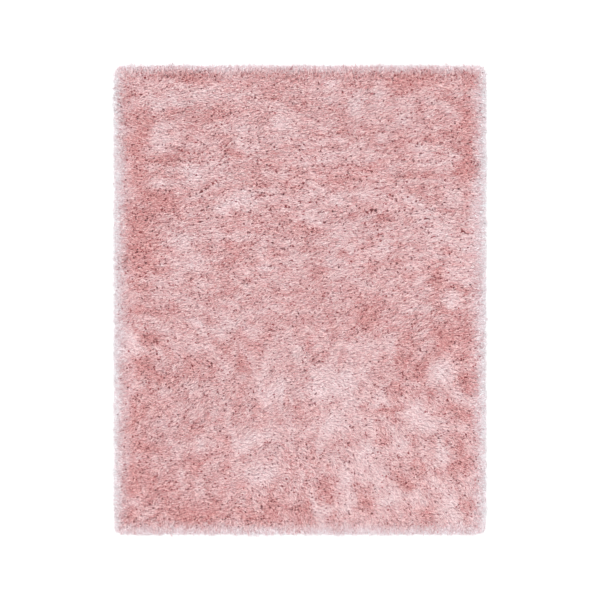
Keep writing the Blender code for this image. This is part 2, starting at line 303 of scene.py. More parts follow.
@dataclass(frozen=True)
class RugSizes:
    """The rug's sizes, of which the overall ones come from the CAD solid's box.

    The pile is painted paler, a painted sheen, over the pale distances from each edge, and greyer, a painted
    shade, over edge_fade. At the two ends it greys only by the share end_fade. From turn_inset outwards its
    strands turn to fall over the edge.
    """

    width: float
    length: float
    corner: float = 0.070
    backing_inset: float = 0.072
    backing_thickness: float = 0.003
    lower_inset: float = 0.015
    rim_inset: float = 0.125
    pale_left: float = 0.125
    pale_right: float = 0.150
    pale_head: float = 0.082
    pale_foot: float = 0.106
    edge_fade: float = 0.080
    end_fade: float = 0.25
    turn_inset: float = 0.150

    def inset(self, x: Floats, y: Floats) -> Floats:
        """Return how far each point lies inside the rug's outline, whose corners are rounded.

        Args:
            x: Places across the rug.
            y: Places along the rug.

        Returns:
            Distances, which are negative outside.
        """
        dx = np.abs(x) - (self.width / 2 - self.corner)
        dy = np.abs(y) - (self.length / 2 - self.corner)
        outside = np.hypot(np.maximum(dx, 0.0), np.maximum(dy, 0.0))
        return self.corner - outside - np.minimum(np.maximum(dx, dy), 0.0)

    def rim_sheen(self, x: Floats, y: Floats) -> Floats:
        """Return how much paler the pile is towards the rim.

        Args:
            x: Places across the rug.
            y: Places along the rug.

        Returns:
            Values from 0 inside to 1 at the edge.
        """
        # The share of painted sheen that pales the pile towards the rim.
        across = np.where(x < 0, self.pale_left, self.pale_right)
        along = np.where(y < 0, self.pale_foot, self.pale_head)
        return ease(np.maximum(nearness(x, self.width, across), nearness(y, self.length, along)))

    def edge(self, x: Floats, y: Floats) -> Floats:
        """Return how near each point lies to the very edge: 1 on the two sides, end_fade on the two ends."""
        # The share of painted grey shade towards the very edge.
        end = self.end_fade * ease(nearness(y, self.length, self.edge_fade))
        return np.maximum(ease(nearness(x, self.width, self.edge_fade)), end)

    def outward(self, x: Floats, y: Floats) -> tuple[Floats, Floats]:
        """Return the way that leads straight out to the nearest edge, fanned at corners.

        Args:
            x: Places across the rug.
            y: Places along the rug.

        Returns:
            The x and y of a unit vector for each place.
        """
        dx = np.maximum(np.abs(x) - (self.width / 2 - self.turn_inset), 1e-6) * np.sign(x)
        dy = np.maximum(np.abs(y) - (self.length / 2 - self.turn_inset), 1e-6) * np.sign(y)
        reach = np.hypot(dx, dy)
        return dx / reach, dy / reach


@dataclass
class Lean:
    """Which way strands lean, in radians, how firmly from 0 where they stand up to 1, and how unevenly."""

    heading: Floats
    firmness: Floats
    disorder: Floats


@dataclass
class NapField:
    """How the pile lies at every point: its height, how flat it lies and which way its strands run.

    The pile's height is read from the CAD solid, the node. The fades named upper, lower_half, wave_rise and
    wave_fall run along the rug. The shares of three noises make up the lay, and two shifts bend the waves.
    """

    sizes: RugSizes
    node: Object
    upper: Fade = Fade(-0.5, 0.6)
    lower_half: Fade = Fade(0.15, -0.75)
    broad_share: float = 0.06
    middling_share: float = 0.15
    fine_share: float = 0.38
    lay_gain: float = 1.55
    calm_where_parted: float = 0.4
    wave_length: float = 0.060
    wave_slope: float = 0.11
    wave_sheen: float = 0.45
    wave_rise: Fade = Fade(-0.60, 1.30)
    wave_fall: Fade = Fade(0.85, 0.25)
    wave_fall_share: float = 0.7
    wave_inset: Fade = Fade(0.06, 0.08)
    wave_gaps: Fade = Fade(-0.35, 0.6)
    ridge_shift: float = 0.9
    ripple_shift: float = 0.35
    pit: Fade = Fade(0.42, 0.30)
    swirl_turn: float = math.radians(14)
    eddy_turn: float = math.radians(24)
    rim_swirl: float = 0.5
    most_disorder: float = 0.5
    broad_wander: float = 0.030
    middling_wander: float = 0.025
    turn_start: float = 0.030
    loose_share: float = 0.35

    def __post_init__(self) -> None:
        """Take the CAD solid's surface, and lay out the noises."""
        mesh = self.node.data
        corners = [tuple(vertex.co) for vertex in mesh.vertices]
        faces = [tuple(face.vertices) for face in mesh.polygons]
        self.solid = BVHTree.FromPolygons(corners, faces)
        self.broad = SmoothNoise(spacing=0.17, seed=SEED + 1)
        self.middling = SmoothNoise(spacing=0.080, seed=SEED + 2)
        self.fine = SmoothNoise(spacing=0.034, seed=SEED + 3)
        self.swirl = SmoothNoise(spacing=0.24, seed=SEED + 4)
        self.eddy = SmoothNoise(spacing=0.060, seed=SEED + 5)
        self.grain = SmoothNoise(spacing=0.0115, seed=SEED + 6)
        self.ridge = SmoothNoise(spacing=0.15, seed=SEED + 7)
        self.clumps = SmoothNoise(spacing=0.020, seed=SEED + 8)

    def top(self, x: Floats, y: Floats) -> Floats:
        """Return how high the CAD solid is.

        Args:
            x: Places across the rug.
            y: Places along the rug.

        Returns:
            The height of its top over each place, or 0 beside it.
        """
        down = Vector((0.0, 0.0, -1.0))
        heights = np.zeros(len(x))
        for index, (px, py) in enumerate(zip(x, y)):
            hit = self.solid.ray_cast(Vector((px, py, 1.0)), down)[0]
            heights[index] = hit.z if hit is not None else 0.0
        return heights

    def widened(self, x: Floats, y: Floats, wide: float, low: float, high: float) -> tuple[Floats, Floats]:
        """Return where to read a noise, so that it looks wide and short in the rug's upper part.

        Args:
            x: Places across the rug.
            y: Places along the rug.
            wide: The share by which x is drawn together in the upper part.
            low: By what y is multiplied in the lower part.
            high: How much more y is multiplied by in the upper part.

        Returns:
            The places' x and y.
        """
        upper = self.upper.at(y)
        return x * (1 - wide * upper), y * (low + high * upper)

    def lay(self, x: Floats, y: Floats) -> Floats:
        """Return how the strands lie.

        Args:
            x: Places across the rug.
            y: Places along the rug.

        Returns:
            Values from -1 for parted to 1 for flat.
        """
        spots = self.widened(x, y, wide=0.45, low=0.72, high=0.55)
        total = self.broad_share * self.broad.at(x, y) + self.middling_share * self.middling.at(*spots)
        total += self.fine_share * self.fine.at(*spots)
        phase, strength = self.waves(x, y)
        # Painted sheen: the lay, and with it the yarn's paleness, climbs across each wave and drops at its
        # crease.
        total += self.wave_sheen * strength * (phase % 1.0 - 0.5)
        for patch in PARTED_PATCHES + FLAT_PATCHES:
            total += patch.lay.value * patch.weight(x, y)
        return np.tanh(self.lay_gain * total)

    def calm(self, x: Floats, y: Floats) -> Floats:
        """Return how much alike the strands are, from 0 to 1 where they lie flat in the lower half."""
        flat = self.calm_where_parted + (1 - self.calm_where_parted) * ease(0.5 + self.lay(x, y))
        return self.lower_half.at(y) * flat

    def waves(self, x: Floats, y: Floats) -> tuple[Floats, Floats]:
        """Return the waves that the pile lies in across the rug's upper part.

        Args:
            x: Places across the rug.
            y: Places along the rug.

        Returns:
            Their phase, which grows by 1 from wave to wave, and their strength from 0 to 1.
        """
        phase = (y - self.wave_slope * x) / self.wave_length
        phase = phase + self.ridge_shift * self.ridge.at(x, y) + self.ripple_shift * self.middling.at(x, y)
        region = self.wave_rise.at(y) * (1 - self.wave_fall_share * self.wave_fall.at(y))
        region = region * self.wave_inset.at(self.sizes.inset(x, y))
        return phase, region * self.wave_gaps.at(self.ridge.at(y, x))

    def pits(self, x: Floats, y: Floats) -> Floats:
        """Return how deep each point lies in the small pits between tufts, from 0 to 1."""
        return self.pit.at(self.grain.at(*self.widened(x, y, wide=0.35, low=0.8, high=0.4)))

    def lean(self, x: Floats, y: Floats, share: Floats) -> Lean:
        """Return the strands' lean: with the flows inside, outwards at the rim, and mixed between.

        Args:
            x: Places across the rug.
            y: Places along the rug.
            share: A random value from 0 to 1 for each place, which picks the way where both are found.

        Returns:
            The lean at each place.
        """
        east = np.zeros(len(x))
        north = np.zeros(len(x))
        for flow in FLOWS:
            weight = np.exp(-((x - flow.x) ** 2 + (y - flow.y) ** 2) / flow.reach ** 2)
            east += weight * math.cos(math.radians(flow.heading))
            north += weight * math.sin(math.radians(flow.heading))
        disorder = self.most_disorder * self.lower_half.at(y)
        swirl = self.swirl_turn * self.swirl.at(x, y) + self.eddy_turn * (1 + disorder) * self.eddy.at(x, y)
        out_x, out_y = self.sizes.outward(x, y)
        wander = self.broad_wander * self.broad.at(y, x) + self.middling_wander * self.middling.at(y, x)
        turned_in = Fade(self.turn_start, self.sizes.turn_inset - self.turn_start)
        inner = turned_in.at(self.sizes.inset(x, y) + wander)
        outwards = np.arctan2(out_y, out_x) + self.rim_swirl * swirl
        heading = np.where(inner < share, outwards, np.arctan2(north, east) + swirl)
        mixed = 4 * inner * (1 - inner)
        return Lean(heading, 1 - self.loose_share * mixed, np.maximum(disorder, mixed))


# ---------------------------------------------------------------- meshes

def mesh_from_arrays(name: str, points: Floats, faces: Floats) -> Mesh:
    """Return a smooth mesh made from arrays.

    Args:
        name: The mesh's name.
        points: One row of x, y and z for each point.
        faces: One row of point numbers for each face, all with as many corners.

    Returns:
        The mesh, with its edges worked out.
    """
    mesh = bpy.data.meshes.new(name)
    corners = faces.shape[1]
    mesh.vertices.add(len(points))
    mesh.vertices.foreach_set("co", points.astype(np.float32).ravel())
    mesh.loops.add(faces.size)
    mesh.loops.foreach_set("vertex_index", faces.astype(np.int32).ravel())
    mesh.polygons.add(len(faces))
    mesh.polygons.foreach_set("loop_start", np.arange(0, faces.size, corners, dtype=np.int32))
    mesh.polygons.foreach_set("loop_total", np.full(len(faces), corners, dtype=np.int32))
    mesh.update(calc_edges=True)
    mesh.shade_smooth()
    return mesh


def placed(name: str, data: bpy.types.ID) -> Object:
    """Put a new object into the scene.

    Args:
        name: The object's name.
        data: Its mesh, light or camera.

    Returns:
        The object.
    """
    thing = bpy.data.objects.new(name, data)
    bpy.context.scene.collection.objects.link(thing)
    return thing


def store(mesh: Mesh, name: str, values: Floats) -> None:
    """Store three or four numbers for each of a mesh's points, as a vector or a colour.

    Args:
        mesh: The mesh.
        name: What a finish reads them by.
        values: The numbers, with a point's own in the last axis.
    """
    kind, part = ("FLOAT_COLOR", "color") if values.shape[-1] == 4 else ("FLOAT_VECTOR", "vector")
    mesh.attributes.new(name, kind, "POINT").data.foreach_set(part, values.ravel())


def dress(mesh: Mesh, material: Material) -> Object:
    """Put a piece into the scene, riding with the rug.

    Args:
        mesh: The piece's mesh.
        material: The one material that it shows.

    Returns:
        The piece.
    """
    mesh.materials.append(material)
    piece = placed(mesh.name, mesh)
    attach(piece, BODY)
    return piece


def scatter(spacing: float, sizes: RugSizes, rng: Random) -> tuple[Floats, Floats]:
    """Spread points unevenly over the rug's whole rectangle.

    Args:
        spacing: About how far apart they are.
        sizes: The rug's sizes.
        rng: The source of their unevenness.

    Returns:
        The points' x and y.
    """
    across = np.arange(-sizes.width / 2, sizes.width / 2, spacing)
    along = np.arange(-sizes.length / 2, sizes.length / 2, spacing * math.sqrt(3) / 2)
    x, y = np.meshgrid(across, along)
    x[1::2] += spacing / 2
    x = x + rng.uniform(-SCATTER_SHARE, SCATTER_SHARE, x.shape) * spacing
    y = y + rng.uniform(-SCATTER_SHARE, SCATTER_SHARE, y.shape) * spacing
    return x.ravel(), y.ravel()


@dataclass
class Tufts:
    """Tufts of pile: each array holds one value for a tuft."""

    x: Floats
    y: Floats
    base: Floats
    top: Floats
    tip: Floats
    heading: Floats
    reach: Floats
    lay: Floats
    tone: Floats

    def some(self, keep: Floats) -> "Tufts":
        """Return the tufts that an array of numbers picks."""
        return Tufts(*(values[keep] for values in vars(self).values()))

    def repeated(self, count: int) -> "Tufts":
        """Return each tuft count times over, one for each of its strands."""
        return Tufts(*(np.repeat(values, count) for values in vars(self).values()))

    def bands(self, count: int) -> list["Tufts"]:
        """Return the tufts in bands across the rug, from foot to head, with as many tufts in each."""
        order = np.argsort(self.y, kind="stable")
        return [self.some(chosen) for chosen in np.array_split(order, count)]

    def __len__(self) -> int:
        """Return the number of tufts."""
        return len(self.x)


@dataclass(frozen=True)
class Spindle:
    """A strand's form: a ridge between two edges, with its sections' places along it and their widths."""

    stations: tuple[float, ...]
    widths: tuple[float, ...]

    @property
    def rings(self) -> int:
        """Return the number of sections."""
        return len(self.stations)

    @property
    def points(self) -> int:
        """Return the number of points on one strand."""
        return 3 * self.rings + 2

    @property
    def places(self) -> Floats:
        """Return how far along a strand its root, its sections and its tip lie."""
        return np.array([0.0, *self.stations, 1.0])

    def faces(self) -> tuple[Floats, Floats]:
        """Return one strand's faces, and their corners' places on a strip laid out flat.

        Returns:
            Rows of three point numbers, and for each corner in turn its place on a strip from 0 to 1.
        """
        rows = []
        strip = []
        tip = self.points - 1
        for side in (0, 1):
            after = side + 1
            rows.append((0, 1 + after, 1 + side))
            strip += [(side + 0.5, 0), (side + 1, 1), (side, 1)]
            for ring in range(self.rings - 1):
                low = 1 + 3 * ring
                high = low + 3
                rows += [(low + side, low + after, high + after), (low + side, high + after, high + side)]
                strip += [(side, ring + 1), (side + 1, ring + 1), (side + 1, ring + 2)]
                strip += [(side, ring + 1), (side + 1, ring + 2), (side, ring + 2)]
            last = tip - 3
            rows.append((last + side, last + after, tip))
            strip += [(side, self.rings), (side + 1, self.rings), (side + 0.5, self.rings + 1)]
        return np.array(rows), np.array(strip, dtype=float) / (2.0, self.rings + 1.0)


LONG_SPINDLE = Spindle((0.36, 0.74), (1.0, 0.85))
SHORT_SPINDLE = Spindle((0.55,), (1.0,))
# Section corners round a strand: left, ridge and right, as shares of its width and depth.
SECTION = np.array([[-0.5, -0.33], [0.0, 0.67], [0.5, -0.33]])
# How far round the strand each of them lies, and its root and tip.
ROUND = (0.0, 0.33, 0.67)
ROUND_ENDS = 0.5


@dataclass(frozen=True)
class StrandSizes:
    """The sizes of one kind of strands. Each spread, and fan, sway, curl and twist, differs by strand."""

    spindle: Spindle
    per_tuft: int
    width: float
    depth: float
    root_spread: float
    gather: float
    fan: float = math.radians(7)
    crest: float = 0.72
    height_spread: float = 0.002
    reach_spread: float = 0.20
    sway: float = 0.0045
    curl: float = 0.0022
    twist: float = math.radians(30)
    pit_depth: float = 0.008
    wave_depth: float = 0.010


@dataclass
class StrandMesh:
    """Turns tufts into one mesh of ridged strands, widest in their middle and pointed at both ends.

    The tones say how far the strands' own colours differ at random, and the blushes how much painted rim
    sheen and painted edge shade a strand loses, which their finish reads.
    """

    sizes: StrandSizes
    nap: NapField
    rng: Random
    run_power: float = 1.2
    tip_lift: float = 0.8
    width_spread: float = 0.3
    least_centre: float = 0.0022
    least_height: float = 0.0006
    strand_numbers: int = 997
    dash_scale: float = 10.0
    tone_shift: float = 0.15
    deep_tone: float = 0.25
    tone_gain: float = 1.08
    calm_tone: float = 0.40
    parted_blush: float = 0.55
    rim_blush: float = 0.7
    edge_blush: float = 0.5
    map_margin: float = 0.06

    def centrelines(self, tufts: Tufts) -> Floats:
        """Return the points that each strand runs through, from its root to its tip.

        Args:
            tufts: One tuft for each strand.

        Returns:
            The points, shaped (strands, stations, 3).
        """
        sizes = self.sizes
        rng = self.rng
        count = len(tufts)
        along = sizes.spindle.places[None, :]
        heading = (tufts.heading + rng.normal(0.0, sizes.fan, count))[:, None]
        reach = tufts.reach * (1 + rng.uniform(-sizes.reach_spread, sizes.reach_spread, count))
        lift = rng.uniform(-sizes.height_spread, sizes.height_spread, count)
        off_x = rng.uniform(-sizes.root_spread, sizes.root_spread, count)
        off_y = rng.uniform(-sizes.root_spread, sizes.root_spread, count)
        sway = rng.normal(0.0, sizes.sway, count)
        curl = rng.normal(0.0, sizes.curl, count)
        run = reach[:, None] * along ** self.run_power
        aside = sway[:, None] * along ** 2 + curl[:, None] * np.sin(math.pi * along)
        loose = 1 - sizes.gather * along
        x = tufts.x[:, None] + off_x[:, None] * loose
        y = tufts.y[:, None] + off_y[:, None] * loose
        x = x + run * np.cos(heading) - aside * np.sin(heading)
        y = y + run * np.sin(heading) + aside * np.cos(heading)
        rise = np.sin(np.minimum(along / sizes.crest, 1.0) * math.pi / 2)
        top = (tufts.top + lift)[:, None]
        z = tufts.base[:, None] + (top - tufts.base[:, None]) * rise
        z[:, -1] = tufts.tip + lift * self.tip_lift
        z[:, 1:] -= sizes.pit_depth * self.nap.pits(x[:, 1:], y[:, 1:])
        phase, strength = self.nap.waves(x[:, 1:], y[:, 1:])
        z[:, 1:] -= sizes.wave_depth * strength * (1 - phase % 1.0)
        return np.stack([x, y, np.maximum(z, self.least_centre)], axis=2)

    def sections(self, lines: Floats, width: Floats) -> Floats:
        """Return the corners of each strand's sections.

        Args:
            lines: The points that each strand runs through.
            width: Each strand's width.

        Returns:
            The corners, shaped (strands, sections, 3, 3).
        """
        forward = lines[:, 2:] - lines[:, :-2]
        forward /= np.linalg.norm(forward, axis=2, keepdims=True)
        up = np.zeros_like(forward)
        up[..., 2] = 1.0
        right = np.cross(forward, up)
        right /= np.maximum(np.linalg.norm(right, axis=2, keepdims=True), 1e-6)
        over = np.cross(right, forward)
        twist = self.rng.normal(0.0, self.sizes.twist, (len(lines), 1, 1))
        turned_right = right * np.cos(twist) + over * np.sin(twist)
        turned_over = over * np.cos(twist) - right * np.sin(twist)
        span = (width[:, None] * np.array(self.sizes.spindle.widths))[:, :, None, None]
        wide = span * SECTION[None, None, :, 0, None]
        deep = span * SECTION[None, None, :, 1, None] * (self.sizes.depth / self.sizes.width)
        middle = lines[:, 1:-1, None, :]
        return middle + turned_right[:, :, None, :] * wide + turned_over[:, :, None, :] * deep

    def build(self, name: str, tufts: Tufts) -> Mesh:
        """Return the mesh of all the tufts' strands, with what their finish reads.

        Args:
            name: The mesh's name.
            tufts: The tufts to grow.

        Returns:
            A mesh with the attributes yarn (place round, place along, strand number), nap (lay, tone, place
            of the painted shadow dashes, painted rim sheen) and wave (phase, strength, nearness to the edge
            for the painted grey shade).
        """
        spindle = self.sizes.spindle
        tufts = tufts.repeated(self.sizes.per_tuft)
        count = len(tufts)
        lines = self.centrelines(tufts)
        width = self.sizes.width * self.rng.uniform(1 - self.width_spread, 1 + self.width_spread, count)
        points = np.empty((count, spindle.points, 3))
        points[:, 0] = lines[:, 0]
        points[:, 1:-1] = self.sections(lines, width).reshape(count, -1, 3)
        points[:, -1] = lines[:, -1]
        points[..., 2] = np.maximum(points[..., 2], self.least_height)
        rows, strip = spindle.faces()
        faces = (rows[None] + spindle.points * np.arange(count)[:, None, None]).reshape(-1, 3)
        mesh = mesh_from_arrays(name, points.reshape(-1, 3), faces)
        self.write_attributes(mesh, tufts, points)
        self.write_bake_map(mesh, tufts, strip)
        log.info("%s: %d strands, %d faces", name, count, len(faces))
        return mesh

    def write_attributes(self, mesh: Mesh, tufts: Tufts, points: Floats) -> None:
        """Store what the finish reads, in the attributes wave, yarn and nap.

        Args:
            mesh: The strands' mesh.
            tufts: One tuft for each strand.
            points: The mesh's points, shaped (strands, points on a strand, 3).
        """
        spindle = self.sizes.spindle
        count = len(tufts)
        x = points[..., 0]
        y = points[..., 1]
        tone = tufts.tone + self.tone_shift - self.deep_tone * self.rng.exponential(1.0, count)
        tone = tone * (self.tone_gain - self.calm_tone * self.nap.calm(tufts.x, tufts.y))
        # A random share of strands, the blushes, lose some of the painted rim sheen and the painted edge
        # shade.
        blush = self.rim_blush * self.rng.uniform(0.0, 1.0, count) ** 2
        # pale: the share of the painted rim sheen that a strand keeps, less where the nap is parted.
        pale = (1 - self.parted_blush * np.clip(-tufts.lay, 0.0, 1.0)) * (1 - blush)
        wave = np.zeros((count, spindle.points, 3), np.float32)
        wave[..., 0], wave[..., 1] = self.nap.waves(x, y)
        # The painted grey shade at the very edge, less on blushing strands.
        wave[..., 2] = self.nap.sizes.edge(x, y) * (1 - self.edge_blush * blush)[:, None]
        yarn = np.empty((count, spindle.points, 3), np.float32)
        yarn[..., 0] = [ROUND_ENDS, *ROUND * spindle.rings, ROUND_ENDS]
        yarn[..., 1] = [0.0, *np.repeat(spindle.stations, 3), 1.0]
        yarn[..., 2] = np.arange(count)[:, None] % self.strand_numbers
        nap = np.ones((count, spindle.points, 4), np.float32)
        nap[..., 0] = (0.5 + 0.5 * tufts.lay)[:, None]
        nap[..., 1] = np.clip(0.5 + 0.5 * tone, 0.0, 1.0)[:, None]
        nap[..., 2] = self.dash_scale * yarn[..., 1] * tufts.reach[:, None]
        nap[..., 3] = self.nap.sizes.rim_sheen(x, y) * pale[:, None]
        store(mesh, "wave", wave)
        store(mesh, "yarn", yarn)
        store(mesh, "nap", nap)

    def write_bake_map(self, mesh: Mesh, tufts: Tufts, strip: Floats) -> None:
        """Lay each strand out as a strip of its own, near its neighbours', on the map named OFBake.

        Args:
            mesh: The strands' mesh.
            tufts: One tuft for each strand.
            strip: The corners' places on one strip, from 0 to 1.
        """
        count = len(tufts)
        cells = math.ceil(math.sqrt(count))
        by_row = np.argsort(tufts.y, kind="stable")
        row = np.empty(count, int)
        row[by_row] = np.arange(count) // cells
        order = np.lexsort((tufts.x, row))
        place = np.empty(count, int)
        place[order] = np.arange(count)
        corner = np.stack([place % cells, place // cells], axis=1).astype(float)
        spots = (corner[:, None, :] + self.map_margin + (1 - 2 * self.map_margin) * strip[None]) / cells
        layer = mesh.uv_layers.new(name="OFBake")
        layer.data.foreach_set("uv", spots.astype(np.float32).ravel())


# ---------------------------------------------------------------- finishes

# The powers of a level that deepen the red, green and blue of yarn by it, so that painted shade and darker
# strands turn a deeper red.
DEEP_POWERS = (0.5, 1.15, 1.1)


class NodeSheet:
    """A node tree with short calls to add nodes and join them."""

    def __init__(self, tree: NodeTree) -> None:
        """Keep the tree that nodes are added to."""
        self.tree = tree

    def add(self, kind: str, inputs: Optional[Inputs] = None, **settings: object) -> Node:
        """Return a new node.

        Args:
            kind: The node's Blender type.
            inputs: What goes into its sockets, by their number or name.
            **settings: Values for the node's own properties.

        Returns:
            The node.
        """
        node = self.tree.nodes.new(kind)
        for key, value in settings.items():
            setattr(node, key, value)
        for key, value in (inputs or {}).items():
            self.feed(value, node.inputs[key])
        return node

    def feed(self, value: Value, target: NodeSocket) -> None:
        """Feed a socket or a plain value into a socket.

        Args:
            value: The socket or the value.
            target: Where it goes.
        """
        if isinstance(value, NodeSocket):
            self.tree.links.new(value, target)
        else:
            target.default_value = value

    def maths(self, operation: str, *values: Value, clamp: bool = False) -> NodeSocket:
        """Return the result of a sum on sockets or numbers."""
        inputs = dict(enumerate(values))
        return self.add("ShaderNodeMath", inputs, operation=operation, use_clamp=clamp).outputs[0]

    def product(self, *values: Value) -> NodeSocket:
        """Return the product of sockets or numbers."""
        return reduce(lambda total, value: self.maths("MULTIPLY", total, value), values)

    def less(self, first: Value, second: Value) -> NodeSocket:
        """Return the first of two sockets or numbers less the second."""
        return self.maths("SUBTRACT", first, second)

    def mix(self, share: Value, first: Value, second: Value) -> NodeSocket:
        """Return the colour that blends two colours by a share."""
        return self.add("ShaderNodeMix", {0: share, 6: first, 7: second}, data_type="RGBA").outputs[2]

    def ramp(self, value: Value, start: Value, end: Value, low: Value = 0.0, high: Value = 1.0) -> NodeSocket:
        """Return a smooth change from low to high as a value goes from start to end."""
        inputs = dict(enumerate((value, start, end, low, high)))
        return self.add("ShaderNodeMapRange", inputs, interpolation_type="SMOOTHSTEP").outputs[0]

    def vector(self, *parts: Value) -> NodeSocket:
        """Return the vector put together from its parts."""
        return self.add("ShaderNodeCombineXYZ", dict(enumerate(parts))).outputs[0]

    def deepened(self, colour: Value, level: Value, powers: Iterable[Value] = DEEP_POWERS) -> NodeSocket:
        """Return a colour scaled by a level, each of red, green and blue by its own power of it."""
        tinge = self.vector(*(self.maths("POWER", level, power) for power in powers))
        return self.add("ShaderNodeVectorMath", {0: colour, 1: tinge}, operation="MULTIPLY").outputs[0]

    def attribute(self, name: str) -> tuple[NodeSocket, ...]:
        """Return the three parts of what a mesh stores by a name, and the fourth that only a colour has."""
        stored = self.add("ShaderNodeAttribute", attribute_name=name).outputs
        return (*self.add("ShaderNodeSeparateXYZ", {0: stored["Vector"]}).outputs, stored["Alpha"])

    def noise(self, place: NodeSocket, scale: float = 1.0, detail: float = 0.0, **settings: object) -> Node:
        """Return a noise texture that is read at a place."""
        return self.add("ShaderNodeTexNoise", {"Vector": place, "Scale": scale, "Detail": detail}, **settings)

    def bump(self, height: NodeSocket, strength: float, distance: float) -> NodeSocket:
        """Return the normals of a surface that a height raises."""
        inputs = {"Height": height, "Strength": strength, "Distance": distance}
        return self.add("ShaderNodeBump", inputs).outputs[0]

    def group(self, tree: NodeTree, **values: Value) -> NodeOutputs:
        """Return the outputs of a placed node group, whose inputs are named with _ for each space."""
        inputs = {key.replace("_", " "): value for key, value in values.items()}
        return self.add("ShaderNodeGroup", inputs, node_tree=tree).outputs


class EffectSheet(NodeSheet):
    """The node sheet of a new shader group, with what it is given and what it puts out."""

    def __init__(self, name: str, given: dict[str, Value], result: dict[str, str]) -> None:
        """Make the group's named sockets.

        Args:
            name: The group's name.
            given: Each input's name and default: a number, or four numbers for a colour.
            result: Each output's name and socket type.
        """
        super().__init__(bpy.data.node_groups.new(name, "ShaderNodeTree"))
        sockets = self.tree.interface
        for label, value in given.items():
            kind = "NodeSocketFloat" if isinstance(value, float) else "NodeSocketColor"
            sockets.new_socket(name=label, in_out="INPUT", socket_type=kind).default_value = value
        for label, kind in result.items():
            sockets.new_socket(name=label, in_out="OUTPUT", socket_type=kind)
        self.given = self.add("NodeGroupInput").outputs
        self.result = self.add("NodeGroupOutput").inputs


WHITE = (1.0, 1.0, 1.0, 1.0)
PLAIN_ROSE = (0.8, 0.6, 0.6, 1.0)
# How far apart two strands read the noises that vary along a strand.
STRAND_STEP = 3.7


@dataclass(frozen=True)
class YarnColour:
    """The effect that colours yarn by how it lies, from its root to its tip and by strand.

    The dashes are short stretches of painted shadow, as where strands cross, and the root is painted darker
    as shade. Parted yarn is painted darker as shade and flat yarn paler as a painted sheen; the rim colour is
    a painted sheen and the edge colour a painted grey shade. The dashes' depth and the spread of the strands'
    tones grow where the nap is parted, and shrink at the rug's edge.
    """

    # rim: a painted sheen at the rim; edge: a painted grey shade at the very edge.
    rim: Colour = (0.735, 0.665, 0.705, 1.0)
    edge: Colour = (0.675, 0.675, 0.69, 1.0)
    dash_start: float = 0.43
    dash_full: float = 0.30
    dash_scale: float = 10.0
    parted_lay: float = 0.1
    flat_lay: float = 0.9
    flat_dash: float = 0.8
    parted_dash: float = 1.4
    parted_tone: float = 1.7
    edge_dash: float = 0.4
    edge_tone: float = 0.5

    def build(self) -> NodeTree:
        """Return the effect's node group."""
        numbers = dict.fromkeys(("Root Depth", "Root Length", "Dash Depth", "Tone Spread"), 0.5)
        inputs = {"Parted": PLAIN_ROSE, "Flat": PLAIN_ROSE, **numbers}
        sheet = EffectSheet("yarn_colour", inputs, {"Color": "NodeSocketColor", "Lay": "NodeSocketFloat"})
        given = sheet.given
        _, along, number, _ = sheet.attribute("yarn")
        lay, tone, dash_place, rim_sheen = sheet.attribute("nap")
        _, _, edge, _ = sheet.attribute("wave")
        # Painted sheen and shade: flat yarn paler, parted yarn darker, the rim paler and the edge greyer.
        lying = sheet.mix(lay, given["Parted"], given["Flat"])
        lying = sheet.mix(edge, sheet.mix(rim_sheen, lying, self.rim), self.edge)
        # Painted shadow dashes along each strand.
        spot = sheet.vector(sheet.product(dash_place, self.dash_scale), sheet.product(number, STRAND_STEP))
        shaded = sheet.product(
            sheet.ramp(sheet.noise(spot).outputs[0], start=self.dash_start, end=self.dash_full),
            given["Dash Depth"],
            sheet.ramp(lay, self.flat_lay, self.parted_lay, low=self.flat_dash, high=self.parted_dash),
            sheet.ramp(edge, 0.0, 1.0, low=1.0, high=self.edge_dash),
        )
        uneven = sheet.ramp(lay, self.flat_lay, self.parted_lay, low=1.0, high=self.parted_tone)
        spread = sheet.product(
            sheet.less(tone, 0.5),
            given["Tone Spread"],
            sheet.maths("ADD", rim_sheen, uneven),
            sheet.ramp(edge, 0.0, 1.0, low=1.0, high=self.edge_tone),
        )
        # Painted shade at the root.
        root = sheet.ramp(along, 0.0, given["Root Length"], low=given["Root Depth"])
        depth = sheet.product(root, sheet.less(1.0, shaded), sheet.maths("ADD", spread, 1.0))
        sheet.feed(sheet.deepened(lying, depth), sheet.result["Color"])
        sheet.feed(sheet.maths("ADD", lay, rim_sheen), sheet.result["Lay"])
        return sheet.tree


